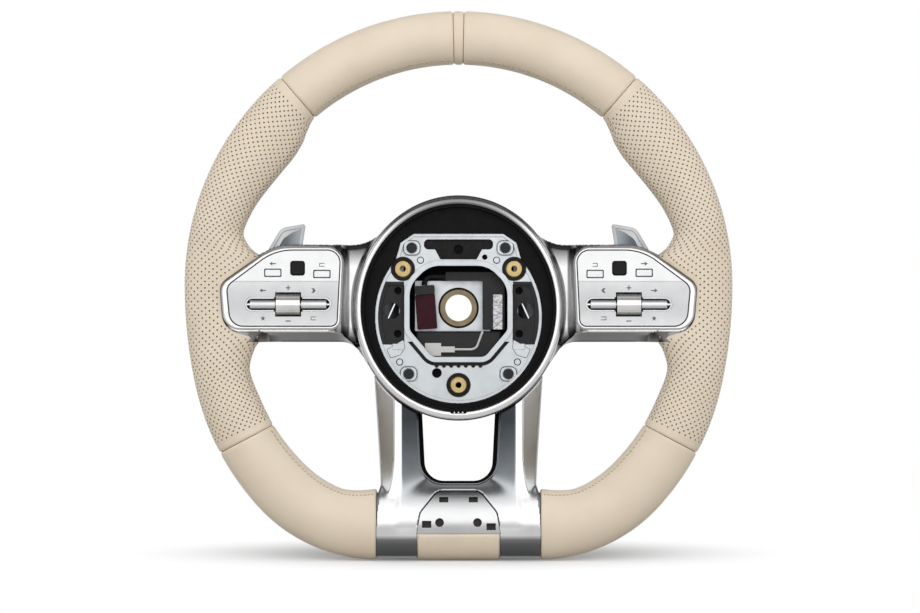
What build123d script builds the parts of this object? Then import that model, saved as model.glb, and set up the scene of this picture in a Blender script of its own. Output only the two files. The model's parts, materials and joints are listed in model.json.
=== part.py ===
from build123d import *
import os
from math import cos, radians, sin

# Car steering wheel without its airbag: leather rim on a cast hub, two switch pods, two paddles.
# Millimetres, +Z up, driver on the -Y side, origin on the column axis at the back of the hub bush.
# A level is a distance from the back of the bush towards the driver, so level = -Y.
# Paired pieces are drawn on the right hand side (+X) and mirrored to the left.

# Rim outline: four tangent arcs down each side, then a flat. Turns are degrees from vertical.
TOP_RADIUS = 186.2
TOP_CENTRE_Z = 15.5
SIDE_RADIUS = 320.0
SIDE_TURN = 12.2
HAUNCH_RADIUS = 179.5
HAUNCH_TURN = 42.5
CORNER_RADIUS = 109.0

# Rim section and cover
RIM_LEVEL = 60.0
RIM_DEPTH = 32.0
TOP_WIDTH = 36.3
BOTTOM_WIDTH = 47.8
LEATHER = 1.4
MARKER_WIDTH = 7.5
UPPER_SEAM = -49.4
LOWER_SEAM = 28.0
THUMB_REST = 8.3
WAIST = 0.6
ROOT_FLARE = 20.5
LOWER_GRIP_GAIN = 4.6
RING_TUBE_RADIUS = 6.0
RING_TUBE_INSET = 15.0

# Cast hub and its spokes
BUSH_LENGTH = 32.0
BUSH_RADIUS = 14.0
BORE_RADIUS = 9.2
BUSH_CHAMFER = 1.4
BOSS_RADIUS = 20.0
HUB_PLATE_WIDTH = 82.0
HUB_PLATE_HEIGHT = 100.0
HUB_PLATE_CORNER = 14.0
HUB_PLATE_BACK = 24.0
HUB_PLATE_FRONT = 31.0
BEAM_DEPTH = 7.0
SIDE_BEAM_WIDTH = 22.0
LEG_BEAM_WIDTH = 12.0
LEG_BEAM_X = 42.0
SIDE_BEAM_FOOT = 41.0
LEG_BEAM_FOOT = 37.0
SIDE_BEAM_RUN = 23.0
LEG_BEAM_RUN = 17.0
BEAM_END_RISE = 3.0
LEG_BEAM_BEND = -118.0
TUBE_BOSS_RADIUS = 8.0
TUBE_BOSS_LENGTH = 26.0
BEAM_CLEARANCE = 0.5

# Hub bezel: oval ring and side arms
RING_HALF_WIDTH = 70.8
RING_HALF_HEIGHT = 76.4
LIP_WIDTH = 4.7
LIP_HEIGHT_GAIN = 1.3
RING_FRONT = 70.0
LIP_BEVEL = 3.6
TRIM_BACK = 46.5
ARM_FRONT = 66.0
ARM_WALL = 1.5
ARM_SHELL = 1.8
ARM_BOTTOM = -23.2
ARM_TRAY_BACK = 56.0
ARM_TRAY_START = 135.0
ARM_CORNER_RADIUS = 25.0
UPPER_FLARE_ANGLE = 47.0
UPPER_FLARE_RADIUS = 30.0
LOWER_FLARE_ANGLE = -37.0
LOWER_FLARE_RADIUS = 15.0
FIT = 0.3
SMALL_CORNER = 1.0

# Switch pods
POD_SEAT = 58.0
POD_FRONT = 77.0
POD_BOTTOM = -14.8
POD_TOP = 41.5
POD_INNER_X = 77.0
POD_LEAN = 2.5
POD_SHOULDER_X = 125.0
POD_SHOULDER_Z = 16.0
POD_END_SETBACK = 25.3
POD_INNER_BOTTOM_RADIUS = 7.0
POD_OUTER_BOTTOM_RADIUS = 12.0
POD_END_RADIUS = 10.0
POD_SHOULDER_RADIUS = 38.0
POD_INNER_TOP_RADIUS = 11.0
FRAME_BEVEL = 1.2
FRAME_BAND = 2.8
FRAME_END_BAND = 4.8
PANEL_GAP = 0.7
LEDGE_WIDTH = 2.0
PANEL_THICKNESS = 3.6
PANEL_RAISE = 0.6
CREASE_Z = 18.0
POD_FLOOR = 2.0
BOARD_THICKNESS = 1.2

# Keys and touch pad of a pod
KEY_WIDTH = 10.6
KEY_HEIGHT = 4.5
KEY_OUTER_X = 125.2
KEY_OUTER_Z = 23.7
KEY_INNER_X = 92.1
KEY_INNER_Z = 22.9
PAD_SIZE = 8.9
PAD_X = 108.5
PAD_Z = 26.8
PAD_CORNER = 2.0
KEY_CORNER = 0.8
KEY_EDGE = 0.4
KEY_PROUD = 0.5
KEY_CLEARANCE = 0.5
KEY_FLANGE = 0.9
KEY_FLANGE_DEPTH = 1.0
STEM_SIZE = 3.0
KEY_TRAVEL = 1.0

# Roller and rocker bars in the slot of a pod
SLOT_X = 114.9
SLOT_Z = 2.4
SLOT_LENGTH = 58.3
SLOT_HEIGHT = 9.6
AXLE_RADIUS = 1.2
AXLE_DROP = 2.9
RUNNING_FIT = 0.05
ROLLER_RADIUS = 7.8
ROLLER_WIDTH = 16.0
ROLLER_RIDGES = 32
RIDGE_DEPTH = 0.45
BAR_END_GAP = 3.4
BAR_ROLLER_GAP = 0.7
BAR_HEIGHT = 6.2
BAR_PROUD = 1.4
BAR_BACK = 2.6
BAR_ROUND = 2.6
POST_THICKNESS = 2.4
POST_WIDTH = 6.0
POST_CAP = 2.2

# Paddles
PADDLE_LEVEL = 33.0
PADDLE_THICKNESS = 4.0
PADDLE_BAND = 1.2
PIVOT_X = 76.0
EYE_RADIUS = 4.2
EYE_HALF = 8.0
PIVOT_RADIUS = 1.8
PIVOT_HALF = 12.0
EAR_GAP = 0.3
EAR_THICKNESS = 3.0
EAR_RADIUS = 4.6
PADDLE_NECK_X = 88.0
PADDLE_HEEL_X = 112.0
PADDLE_HEEL_Z = -12.0
PADDLE_SIDE_X = 132.0
PADDLE_SIDE_Z = 38.0
PADDLE_CREST_X = 122.0
PADDLE_CREST_Z = 55.0
PADDLE_TIP_X = 105.1
PADDLE_TIP_Z = 57.8
PADDLE_WAIST_X = 107.4
PADDLE_BEND = 8.0
PADDLE_CORNER = 1.5
BRACKET_INNER_X = 60.0

# Lower spoke with its rim blocks, and the clip plate
TRIM_WALL = 2.4
PAD_HALF = 28.2
PAD_TOP = -152.6
LEG_OUTER_TOP = 57.5
LEG_OUTER_BOTTOM = 52.7
LEG_RIDGE_OUTER = 43.2
LEG_RIDGE_WIDTH = 4.6
WINDOW_TOP_HALF = 26.2
WINDOW_BOTTOM_HALF = 22.6
WINDOW_BOTTOM = -118.3
WINDOW_CORNER = 9.0
LEG_START = -40.0
LEG_SHOULDER = 54.0
LEG_RIDGE_LEVEL = 66.0
LEG_INNER_LEVEL = 61.0
LEG_FOOT_RISE = 7.0
LEG_FOOT_DEPTH = 12.0
SADDLE_RADIUS = 47.8
SADDLE_THICKNESS = 3.0
SADDLE_DROP = 0.4
PLATE_TOP = -124.0
PLATE_TOP_HALF = 14.0
PLATE_SHOULDER_RADIUS = 8.0
PLATE_TAPER = 2.5
CLIP_SQUARE_PLACES = [(-10.0, -129.5), (10.0, -129.5)]
CLIP_SQUARE_WIDTH = 6.0
CLIP_SQUARE_HEIGHT = 3.4
CLIP_ROUND_PLACES = [(-12.8, -144.8), (12.8, -144.8)]
CLIP_ROUND_RADIUS = 2.9
CLIP_NOTCH_PLACES = [(-21.5, -146.0), (22.0, -147.6)]
CLIP_NOTCH_WIDTH = 6.2
CLIP_NOTCH_HEIGHT = 4.6

# Airbag carrier
CARRIER_BACK = 48.5
CARRIER_THICKNESS = 3.0
CARRIER_HALF_WIDTH = 56.9
CARRIER_HALF_HEIGHT = 59.0
CARRIER_CENTRE_Z = -6.1
CARRIER_TOP = 50.6
CARRIER_TOP_HALF = 30.5
CARRIER_CORNER_X = 39.5
CARRIER_CORNER_Z = 44.5
CARRIER_SHOULDER_X = 54.0
FLANGE_THICKNESS = 2.0
FLANGE_BACK = 44.5
FLANGE_FRONT = 53.0
WINDOW_HALF = 33.4
CARRIER_WINDOW_TOP = 28.8
CARRIER_WINDOW_BOTTOM = -33.4
WINDOW_SIDE_TOP = 15.6
WINDOW_SIDE_BOTTOM = -15.2
WINDOW_UPPER_HALF = 20.0
WINDOW_LOWER_HALF = 18.0
WINDOW_ROUND = 6.0
WINDOW_UPPER_ROUND = 18.0
BORDER_WIDTH = 3.6
BORDER_FRONT = 53.5
SIDE_OPENING_TOP = 16.0
SIDE_OPENING_BOTTOM = -23.0
INSERT_OVERLAP = 1.2
INSERT_THICKNESS = 2.5
INSERT_VENT_PLACES = [(41.4, 11.8), (41.6, -17.6)]
INSERT_VENT_RADIUS = 2.6
BUSH_X = 38.0
BUSH_Z = 26.7
LOWER_BUSH_Z = -52.6
BRASS_RADIUS = 6.1
THREAD_RADIUS = 2.0
BRASS_CHAMFER = 0.8
DAMPER_RADIUS = 8.2
BRASS_BACK = 45.5
BRASS_FRONT = 53.6
DAMPER_BACK = 47.0
DAMPER_FRONT = 52.8
BUMPER_RADIUS = 3.5
BUMPER_HEIGHT = 2.4
BUMPER_X = 31.9
UPPER_BUMPER_Z = 41.0
LOWER_BUMPER_X = 34.0
LOWER_BUMPER_Z = -45.0
BUMPER_CLEARANCE = 0.3
CORNER_PLATE_WIDTH = 12.4
CORNER_PLATE_HEIGHT = 10.8
CORNER_PLATE_ROUND = 3.4
CORNER_PLATE_RAISE = 0.7
FOLDED_CLIP_X = 41.0
FOLDED_CLIP_Z = -26.4
FOLDED_CLIP_WIDTH = 8.0
FOLDED_CLIP_HEIGHT = 4.0
FOLDED_CLIP_RAISE = 1.8
PILOT_HOLE_PLACE = (17.9, 34.7)
PILOT_HOLE_RADIUS = 1.8
DRAIN_HOLE_PLACE = (-14.8, -44.4)
DRAIN_HOLE_RADIUS = 3.3
HUB_POST_RADIUS = 4.1
RIVET_RADIUS = 1.9
RIVET_HEIGHT = 1.2
RIVET_PLACES = [(-26.0, 32.6), (26.0, 32.6), (-40.2, -36.9), (40.2, -36.9)]
GASKET_WIDTH = 2.4
GASKET_THICKNESS = 1.0
GASKET_TOOTH_RADIUS = 1.4
GASKET_TOOTH_PITCH = 5.0
GASKET_TEETH = 7
LATCH_HOLE_X = 45.8
LATCH_HOLE_Z = -2.0
LATCH_HOLE_RADIUS = 5.6
LATCH_WIRE_RADIUS = 1.0
LATCH_WIRE_LENGTH = 17.0
LATCH_WIRE_LEAN = 0.45
T_SLOT_HALF = 23.6
T_SLOT_TOP = 46.8
T_SLOT_MIDDLE = 40.0
T_SLOT_BOTTOM = 33.2
T_FOOT_TOP_HALF = 16.0
T_FOOT_BOTTOM_HALF = 12.4
T_SLOT_ROUND = 3.0
T_PLATE_BORDER = 1.6
T_PLATE_THICKNESS = 1.5
T_PLATE_HOLE = 3.3

# Liner and rear cover
LINER_GAP = 0.4
LINER_WALL = 1.8
LINER_FRONT = 66.0
COVER_BACK = 6.0
COVER_BACK_HALF_WIDTH = 58.0
COVER_BACK_HALF_HEIGHT = 62.0
COVER_EDGE = 0.2
COVER_WALL = 2.2
COVER_OPENING = 34.0
SPOKE_COVER_END = 138.0
SPOKE_COVER_INSET = 3.0
LEG_COVER_END = -120.0
SCREW_RADIUS = 1.5
SCREW_HEAD_RADIUS = 3.2
SCREW_HEAD = 2.0
SCREW_LENGTH = 10.0
SCREW_BOSS_RADIUS = 4.0
SCREW_TOP_Z = 45.0
SCREW_LOW_X = 34.0
SCREW_LOW_Z = -30.0

# Electrics behind the window
MODULE_HALF = 29.0
MODULE_TOP = -16.0
MODULE_BOTTOM = -36.0
MODULE_FRONT = 43.0
SOCKET_LEFT = 16.5
SOCKET_RIGHT = 31.5
SOCKET_HALF_HEIGHT = 15.0
SOCKET_FRONT = 43.0
DUCT_LEFT = -9.0
DUCT_BOTTOM = 18.6
DUCT_TOP = 24.6
DUCT_CORNER = 5.0
PLUG_X = -22.2
PLUG_Z = -2.6
PLUG_WIDTH = 13.6
PLUG_HEIGHT = 24.0
PLUG_FRONT = 44.0
PLUG_TILT = 4.0
CAP_HEIGHT = 6.0
CAP_RAISE = 2.0
CABLE_RADIUS = 1.9
CABLE_LEVEL = 39.0
WIRE_RADIUS = 0.8
CABLE_BEND = 5.0
TERMINAL_THICKNESS = 2.0
TERMINAL_LEFT = -23.0
TERMINAL_NECK = -12.0
TERMINAL_RIGHT = -2.6
TERMINAL_BOTTOM = -32.8
TERMINAL_TOP = -24.0
WIRE_CORNER_X = 12.0


def level(distance):
    """Front-view plane, X to the right and Z up, at a distance towards the driver."""
    return Plane.XZ.offset(distance)


def prism(outline, back, front):
    """Solid between two levels with one front-view outline."""
    with BuildPart() as solid:
        with BuildSketch(level(back)):
            add(outline)
        extrude(amount=front - back)
    return solid.part


def grown(outline, amount):
    """Front-view outline moved outwards, or inwards where the amount is negative."""
    with BuildSketch() as sketch:
        add(outline)
        offset(amount=amount)
    return sketch.sketch


def ellipse(half_width, half_height, centre_z=0.0):
    with BuildSketch() as sketch:
        with Locations((0, centre_z)):
            Ellipse(half_width, half_height)
    return sketch.sketch


def rectangle(left, right, bottom, top):
    with BuildSketch() as sketch:
        with Locations(((left + right) / 2, (bottom + top) / 2)):
            Rectangle(right - left, top - bottom)
    return sketch.sketch


def circles(places, radius):
    with BuildSketch() as sketch:
        with Locations(*places):
            Circle(radius)
    return sketch.sketch


def rounded_outline(points, radii):
    with BuildSketch() as sketch:
        with BuildLine():
            FilletPolyline(points, radius=radii, close=True)
        make_face()
    return sketch.sketch


def united(*solids):
    with BuildPart() as result:
        for solid in solids:
            add(solid)
    return result.part


def without(solid, *tools):
    with BuildPart() as result:
        add(solid)
        for tool in tools:
            add(tool, mode=Mode.SUBTRACT)
    return result.part


def within(solid, limit):
    with BuildPart() as result:
        add(solid)
        add(limit, mode=Mode.INTERSECT)
    return result.part


def mirrored(solid):
    return mirror(solid, about=Plane.YZ)


def both_sides(solid):
    return united(solid, mirrored(solid))


def save(solid, name):
    solid.label = name
    export_step(solid, f"parts/{name}.step")


def save_pair(solid, name):
    save(solid, f"{name}_right")
    save(mirrored(solid), f"{name}_left")


# Rim outline

def rim_arcs(inset=0.0):
    """Arcs of the right half outline from the top down: centre x, centre z, radius, turns."""
    turns = [-90.0, 0.0, SIDE_TURN, HAUNCH_TURN, 90.0]
    radii = [TOP_RADIUS, SIDE_RADIUS, HAUNCH_RADIUS, CORNER_RADIUS]
    x = 0.0
    z = TOP_CENTRE_Z + TOP_RADIUS
    arcs = []
    for radius, start, end in zip(radii, turns, turns[1:]):
        centre_x = x - radius * cos(radians(start))
        centre_z = z + radius * sin(radians(start))
        arcs.append((centre_x, centre_z, radius - inset, start, end))
        x = centre_x + radius * cos(radians(end))
        z = centre_z - radius * sin(radians(end))
    return arcs


def outline_point(turn, inset=0.0):
    for centre_x, centre_z, radius, start, end in rim_arcs(inset):
        if turn <= end:
            break
    return centre_x + radius * cos(radians(turn)), centre_z - radius * sin(radians(turn))


# Places that follow from the driving dimensions
RIM_HALF_WIDTH = outline_point(0.0)[0]
FLAT_HALF, RIM_BOTTOM = outline_point(90.0)
TUBE_SIDE_X = RIM_HALF_WIDTH - RING_TUBE_INSET
TUBE_BOTTOM_Z = RIM_BOTTOM + RING_TUBE_INSET
RING_INNER_WIDTH = RING_HALF_WIDTH - LIP_WIDTH
RING_INNER_HEIGHT = RING_HALF_HEIGHT - LIP_WIDTH - LIP_HEIGHT_GAIN
POD_OUTER_X = RIM_HALF_WIDTH - POD_END_SETBACK
ARM_OUTER_X = POD_OUTER_X + ARM_WALL
ARM_TOP = POD_TOP + ARM_WALL
BEAM_FRONT = TRIM_BACK + BEAM_DEPTH
CARRIER_FRONT = CARRIER_BACK + CARRIER_THICKNESS
PANEL_SEAT = POD_FRONT - PANEL_THICKNESS - PANEL_RAISE
PANEL_FRONT = PANEL_SEAT + PANEL_THICKNESS
AXLE_LEVEL = PANEL_FRONT - AXLE_DROP
BOARD_BACK = POD_SEAT + POD_FLOOR
BOARD_FRONT = BOARD_BACK + BOARD_THICKNESS
PADDLE_FRONT = PADDLE_LEVEL + PADDLE_THICKNESS
EYE_LEVEL = PADDLE_LEVEL + PADDLE_THICKNESS / 2
LEG_END = RIM_BOTTOM + BOTTOM_WIDTH - LEG_FOOT_DEPTH
LOWER_WIDTH = TOP_WIDTH + LOWER_GRIP_GAIN
BOTTOM_GAIN = BOTTOM_WIDTH - LOWER_WIDTH
RIM_FRONT = RIM_LEVEL + RIM_DEPTH / 2

# Rim widths by turn: thumb rest, waist and spoke root on a grip, then the bottom panel
GRIP_WIDTHS = {
    UPPER_SEAM: TOP_WIDTH,
    -45.5: TOP_WIDTH + THUMB_REST * 0.38,
    -42.0: TOP_WIDTH + THUMB_REST * 0.82,
    -39.0: TOP_WIDTH + THUMB_REST,
    -36.0: TOP_WIDTH + THUMB_REST,
    -32.0: TOP_WIDTH + THUMB_REST * 0.86,
    -27.0: TOP_WIDTH + THUMB_REST * 0.6,
    -20.0: TOP_WIDTH + THUMB_REST * 0.15,
    -14.0: TOP_WIDTH - WAIST,
    -10.5: TOP_WIDTH + ROOT_FLARE * 0.25,
    -8.0: TOP_WIDTH + ROOT_FLARE * 0.72,
    -4.0: TOP_WIDTH + ROOT_FLARE,
    4.0: TOP_WIDTH + ROOT_FLARE,
    7.2: TOP_WIDTH + ROOT_FLARE * 0.74,
    9.2: TOP_WIDTH + ROOT_FLARE * 0.31,
    12.0: TOP_WIDTH + LOWER_GRIP_GAIN * 0.4,
    20.0: TOP_WIDTH + LOWER_GRIP_GAIN * 0.8,
    LOWER_SEAM: LOWER_WIDTH,
}
BOTTOM_WIDTHS = {
    LOWER_SEAM: LOWER_WIDTH,
    36.0: LOWER_WIDTH + BOTTOM_GAIN * 0.16,
    44.0: LOWER_WIDTH + BOTTOM_GAIN * 0.3,
    53.0: LOWER_WIDTH + BOTTOM_GAIN * 0.36,
    61.0: LOWER_WIDTH + BOTTOM_GAIN * 0.37,
    69.0: LOWER_WIDTH + BOTTOM_GAIN * 0.4,
    76.0: LOWER_WIDTH + BOTTOM_GAIN * 0.6,
    83.0: LOWER_WIDTH + BOTTOM_GAIN * 0.83,
    90.0: BOTTOM_WIDTH,
}


# Rim pieces

def rim_plane(turn, inset):
    """Plane across the rim at a distance inside its outline, local x pointing outwards."""
    x, z = outline_point(turn, inset)
    outward = (cos(radians(turn)), 0, -sin(radians(turn)))
    along = (-sin(radians(turn)), 0, -cos(radians(turn)))
    return Plane(origin=(x, -RIM_LEVEL, z), x_dir=outward, z_dir=along)


def rim_loft(widths, inset=0.0):
    with BuildPart() as solid:
        for turn, width in widths.items():
            with BuildSketch(rim_plane(turn, width / 2)):
                Ellipse(width / 2 - inset, RIM_DEPTH / 2 - inset)
        loft(ruled=True)
    return solid.part


def rim_top(start, end, inset=0.0):
    """Round top of the rim between two turns of the outline."""
    with BuildPart() as solid:
        with BuildSketch(rim_plane(start, TOP_WIDTH / 2)):
            Ellipse(TOP_WIDTH / 2 - inset, RIM_DEPTH / 2 - inset)
        revolve(axis=Axis((0, 0, TOP_CENTRE_Z), (0, 1, 0)), revolution_arc=end - start)
    return solid.part


def rim_flat(left, right, inset=0.0):
    """Straight bottom of the rim between two places along X."""
    centre = (left, -RIM_LEVEL, RIM_BOTTOM + BOTTOM_WIDTH / 2)
    with BuildPart() as solid:
        with BuildSketch(Plane(origin=centre, x_dir=(0, 0, 1), z_dir=(1, 0, 0))):
            Ellipse(BOTTOM_WIDTH / 2 - inset, RIM_DEPTH / 2 - inset)
        extrude(amount=right - left)
    return solid.part


def ring_tube():
    """Steel ring inside the rim, a bent rod with the same arcs as the outline."""
    with BuildPart() as half:
        for centre_x, centre_z, radius, start, end in rim_arcs():
            with BuildSketch(rim_plane(start, RING_TUBE_INSET)):
                Circle(RING_TUBE_RADIUS)
            revolve(axis=Axis((centre_x, 0, centre_z), (0, 1, 0)), revolution_arc=end - start)
        with BuildSketch(rim_plane(90.0, RING_TUBE_INSET)):
            Circle(RING_TUBE_RADIUS)
        extrude(amount=FLAT_HALF)
    return both_sides(half.part)


# Cast hub with four spokes

def side_beam(grow):
    """Right hand spoke of the casting, seen from above as a bent strip."""
    foot_back = SIDE_BEAM_FOOT + BEAM_DEPTH / 2
    end_back = TRIM_BACK + BEAM_END_RISE
    points = [
        (0, HUB_PLATE_BACK),
        (foot_back, HUB_PLATE_BACK),
        (foot_back + SIDE_BEAM_RUN, TRIM_BACK),
        (ARM_TRAY_START, TRIM_BACK),
        (TUBE_SIDE_X, end_back),
        (TUBE_SIDE_X, end_back + BEAM_DEPTH - FIT),
        (ARM_TRAY_START, BEAM_FRONT),
        (SIDE_BEAM_FOOT + SIDE_BEAM_RUN, BEAM_FRONT),
        (SIDE_BEAM_FOOT, HUB_PLATE_FRONT),
        (0, HUB_PLATE_FRONT),
    ]
    with BuildPart() as beam:
        with BuildSketch(Plane.XY):
            with BuildLine():
                Polyline([(x, -distance) for x, distance in points], close=True)
            make_face()
            offset(amount=grow, kind=Kind.INTERSECTION)
        extrude(amount=SIDE_BEAM_WIDTH / 2 + grow, both=True)
    return beam.part


def leg_beam(grow):
    """Right hand lower spoke of the casting, seen from the side as a bent strip."""
    foot_back = -LEG_BEAM_FOOT - BEAM_DEPTH / 2
    points = [
        (0, HUB_PLATE_BACK),
        (foot_back, HUB_PLATE_BACK),
        (foot_back - LEG_BEAM_RUN, TRIM_BACK),
        (LEG_BEAM_BEND, TRIM_BACK),
        (TUBE_BOTTOM_Z, RIM_LEVEL - BEAM_DEPTH / 2),
        (TUBE_BOTTOM_Z, RIM_LEVEL + BEAM_DEPTH / 2),
        (LEG_BEAM_BEND, BEAM_FRONT),
        (-LEG_BEAM_FOOT - LEG_BEAM_RUN, BEAM_FRONT),
        (-LEG_BEAM_FOOT, HUB_PLATE_FRONT),
        (0, HUB_PLATE_FRONT),
    ]
    with BuildPart() as beam:
        with BuildSketch(Plane.YZ.offset(LEG_BEAM_X)):
            with BuildLine():
                Polyline([(-distance, z) for z, distance in points], close=True)
            make_face()
            offset(amount=grow, kind=Kind.INTERSECTION)
        extrude(amount=LEG_BEAM_WIDTH / 2 + grow, both=True)
    return beam.part


def spoke_beams(grow=0.0):
    return both_sides(united(side_beam(grow), leg_beam(grow)))


def tube_bosses():
    """Cast sleeves round the steel ring at the ends of the four spokes."""
    with BuildPart() as bosses:
        with BuildSketch(Plane.XY):
            with Locations((TUBE_SIDE_X, -RIM_LEVEL)):
                Circle(TUBE_BOSS_RADIUS)
        extrude(amount=TUBE_BOSS_LENGTH / 2, both=True)
        with BuildSketch(Plane.YZ.offset(LEG_BEAM_X)):
            with Locations((-RIM_LEVEL, TUBE_BOTTOM_Z)):
                Circle(TUBE_BOSS_RADIUS)
        extrude(amount=LEG_BEAM_WIDTH, both=True)
    return both_sides(bosses.part)


BUMPER_PLACES = [
    (-BUMPER_X, UPPER_BUMPER_Z),
    (BUMPER_X, UPPER_BUMPER_Z),
    (-LOWER_BUMPER_X, LOWER_BUMPER_Z),
    (LOWER_BUMPER_X, LOWER_BUMPER_Z),
]
SCREW_PLACES = [(0, SCREW_TOP_Z), (-SCREW_LOW_X, SCREW_LOW_Z), (SCREW_LOW_X, SCREW_LOW_Z)]
BUSH_PLACES = [(-BUSH_X, BUSH_Z), (BUSH_X, BUSH_Z), (0, LOWER_BUSH_Z)]


def hub_casting(tube):
    with BuildPart() as casting:
        with BuildSketch(level(HUB_PLATE_BACK)):
            RectangleRounded(HUB_PLATE_WIDTH, HUB_PLATE_HEIGHT, HUB_PLATE_CORNER)
        extrude(amount=HUB_PLATE_FRONT - HUB_PLATE_BACK)
        with BuildSketch(level(0)):
            Circle(BOSS_RADIUS)
        extrude(amount=HUB_PLATE_FRONT)
        with BuildSketch(level(HUB_PLATE_FRONT)):
            with Locations(*BUMPER_PLACES):
                Circle(HUB_POST_RADIUS)
        extrude(amount=CARRIER_BACK - HUB_PLATE_FRONT)
        with BuildSketch(level(COVER_BACK + COVER_WALL)):
            with Locations(*SCREW_PLACES):
                Circle(SCREW_BOSS_RADIUS)
        extrude(amount=HUB_PLATE_BACK - COVER_BACK - COVER_WALL)
        add(spoke_beams())
        add(tube_bosses())
        add(tube, mode=Mode.SUBTRACT)
        with BuildSketch(level(0)):
            Circle(BUSH_RADIUS)
        extrude(amount=BUSH_LENGTH, mode=Mode.SUBTRACT)
        with BuildSketch(level(COVER_BACK)):
            with Locations(*SCREW_PLACES):
                Circle(SCREW_RADIUS)
        extrude(amount=SCREW_LENGTH, mode=Mode.SUBTRACT)
    return casting.part


def hub_bush():
    with BuildPart() as bush:
        with BuildSketch(level(0)):
            Circle(BUSH_RADIUS)
            Circle(BORE_RADIUS, mode=Mode.SUBTRACT)
        extrude(amount=BUSH_LENGTH)
        chamfer(bush.edges().group_by(Axis.Y)[0].sort_by(Edge.length)[-1], BUSH_CHAMFER)
    return bush.part


# Switch pod outlines

POD_RADII = [
    POD_INNER_BOTTOM_RADIUS,
    POD_OUTER_BOTTOM_RADIUS,
    POD_END_RADIUS,
    POD_SHOULDER_RADIUS,
    POD_INNER_TOP_RADIUS,
]


def pod_outline():
    points = [
        (POD_INNER_X + POD_LEAN, POD_BOTTOM),
        (POD_OUTER_X - POD_LEAN, POD_BOTTOM),
        (POD_OUTER_X, POD_SHOULDER_Z),
        (POD_SHOULDER_X, POD_TOP),
        (POD_INNER_X, POD_TOP),
    ]
    return rounded_outline(points, POD_RADII)


def panel_outline():
    """Front panel: an even band inside the pod outline, and a wider one at the rim end."""
    points = [
        (POD_INNER_X + POD_LEAN + FRAME_BAND, POD_BOTTOM + FRAME_BAND),
        (POD_OUTER_X - POD_LEAN - FRAME_END_BAND, POD_BOTTOM + FRAME_BAND),
        (POD_OUTER_X - FRAME_END_BAND, POD_SHOULDER_Z - FRAME_BAND / 2),
        (POD_SHOULDER_X - FRAME_BAND / 2, POD_TOP - FRAME_BAND),
        (POD_INNER_X + FRAME_BAND, POD_TOP - FRAME_BAND),
    ]
    return rounded_outline(points, [radius - FRAME_BAND for radius in POD_RADII])


# Hub bezel

def arm_outline(bottom, corner_radius):
    """Right arm from its tangents on the ring to its end in the rim."""
    upper = radians(UPPER_FLARE_ANGLE)
    lower = radians(LOWER_FLARE_ANGLE)
    upper_x = RING_HALF_WIDTH * cos(upper)
    upper_z = RING_HALF_HEIGHT * sin(upper)
    lower_x = RING_HALF_WIDTH * cos(lower)
    lower_z = RING_HALF_HEIGHT * sin(lower)
    upper_run = (upper_z - ARM_TOP) * RING_HALF_WIDTH * sin(upper) / (RING_HALF_HEIGHT * cos(upper))
    lower_run = (lower_z - bottom) * RING_HALF_WIDTH * sin(lower) / (RING_HALF_HEIGHT * cos(lower))
    points = [
        (upper_x, upper_z),
        (upper_x + upper_run, ARM_TOP),
        (POD_SHOULDER_X + ARM_WALL / 2, ARM_TOP),
        (ARM_OUTER_X, POD_SHOULDER_Z + ARM_WALL / 2),
        (ARM_OUTER_X - POD_LEAN, bottom),
        (lower_x + lower_run, bottom),
        (lower_x, lower_z),
        (0, 0),
    ]
    radii = [
        0,
        UPPER_FLARE_RADIUS,
        POD_SHOULDER_RADIUS,
        POD_END_RADIUS,
        corner_radius,
        LOWER_FLARE_RADIUS,
        0,
        0,
    ]
    return rounded_outline(points, radii)


def arm_back_outline():
    return arm_outline(ARM_BOTTOM, ARM_CORNER_RADIUS)


def arm_front_outline():
    return arm_outline(POD_BOTTOM - ARM_WALL, POD_OUTER_BOTTOM_RADIUS + ARM_WALL)


def arm():
    """Right arm, bevelled from its wide back to a narrow wall round the pod."""
    with BuildPart() as solid:
        with BuildSketch(level(TRIM_BACK)):
            add(arm_back_outline())
        with BuildSketch(level(ARM_FRONT)):
            add(arm_front_outline())
        loft(ruled=True)
    return solid.part


def arm_hollow():
    """Room inside an arm, open at its back, for the cast spoke and the wires of the pod."""
    with BuildSketch() as sketch:
        add(grown(arm_front_outline(), -ARM_SHELL))
        add(rectangle(0, ARM_TRAY_START - ARM_SHELL, ARM_BOTTOM, RING_HALF_HEIGHT), mode=Mode.INTERSECT)
        add(ellipse(RING_HALF_WIDTH + ARM_SHELL, RING_HALF_HEIGHT + ARM_SHELL), mode=Mode.SUBTRACT)
    return prism(sketch.sketch, TRIM_BACK, POD_SEAT - ARM_SHELL)


def hub_bezel():
    arms = both_sides(without(arm(), arm_hollow()))
    behind_tray = rectangle(ARM_TRAY_START, RIM_HALF_WIDTH, ARM_BOTTOM - FIT, ARM_TOP + FIT)
    trays = both_sides(prism(behind_tray, TRIM_BACK, ARM_TRAY_BACK))
    pockets = both_sides(prism(grown(pod_outline(), FIT), POD_SEAT, POD_FRONT))
    beams = spoke_beams(BEAM_CLEARANCE)
    with BuildPart() as bezel:
        with BuildSketch(level(TRIM_BACK)):
            Ellipse(RING_HALF_WIDTH, RING_HALF_HEIGHT)
        extrude(amount=RING_FRONT - TRIM_BACK)
        chamfer(bezel.edges().group_by(Axis.Y)[0], LIP_BEVEL)
        add(arms)
        with BuildSketch(level(TRIM_BACK)):
            Ellipse(RING_INNER_WIDTH, RING_INNER_HEIGHT)
        extrude(amount=RING_FRONT - TRIM_BACK, mode=Mode.SUBTRACT)
        add(trays, mode=Mode.SUBTRACT)
        add(pockets, mode=Mode.SUBTRACT)
        add(beams, mode=Mode.SUBTRACT)
    return bezel.part


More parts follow.
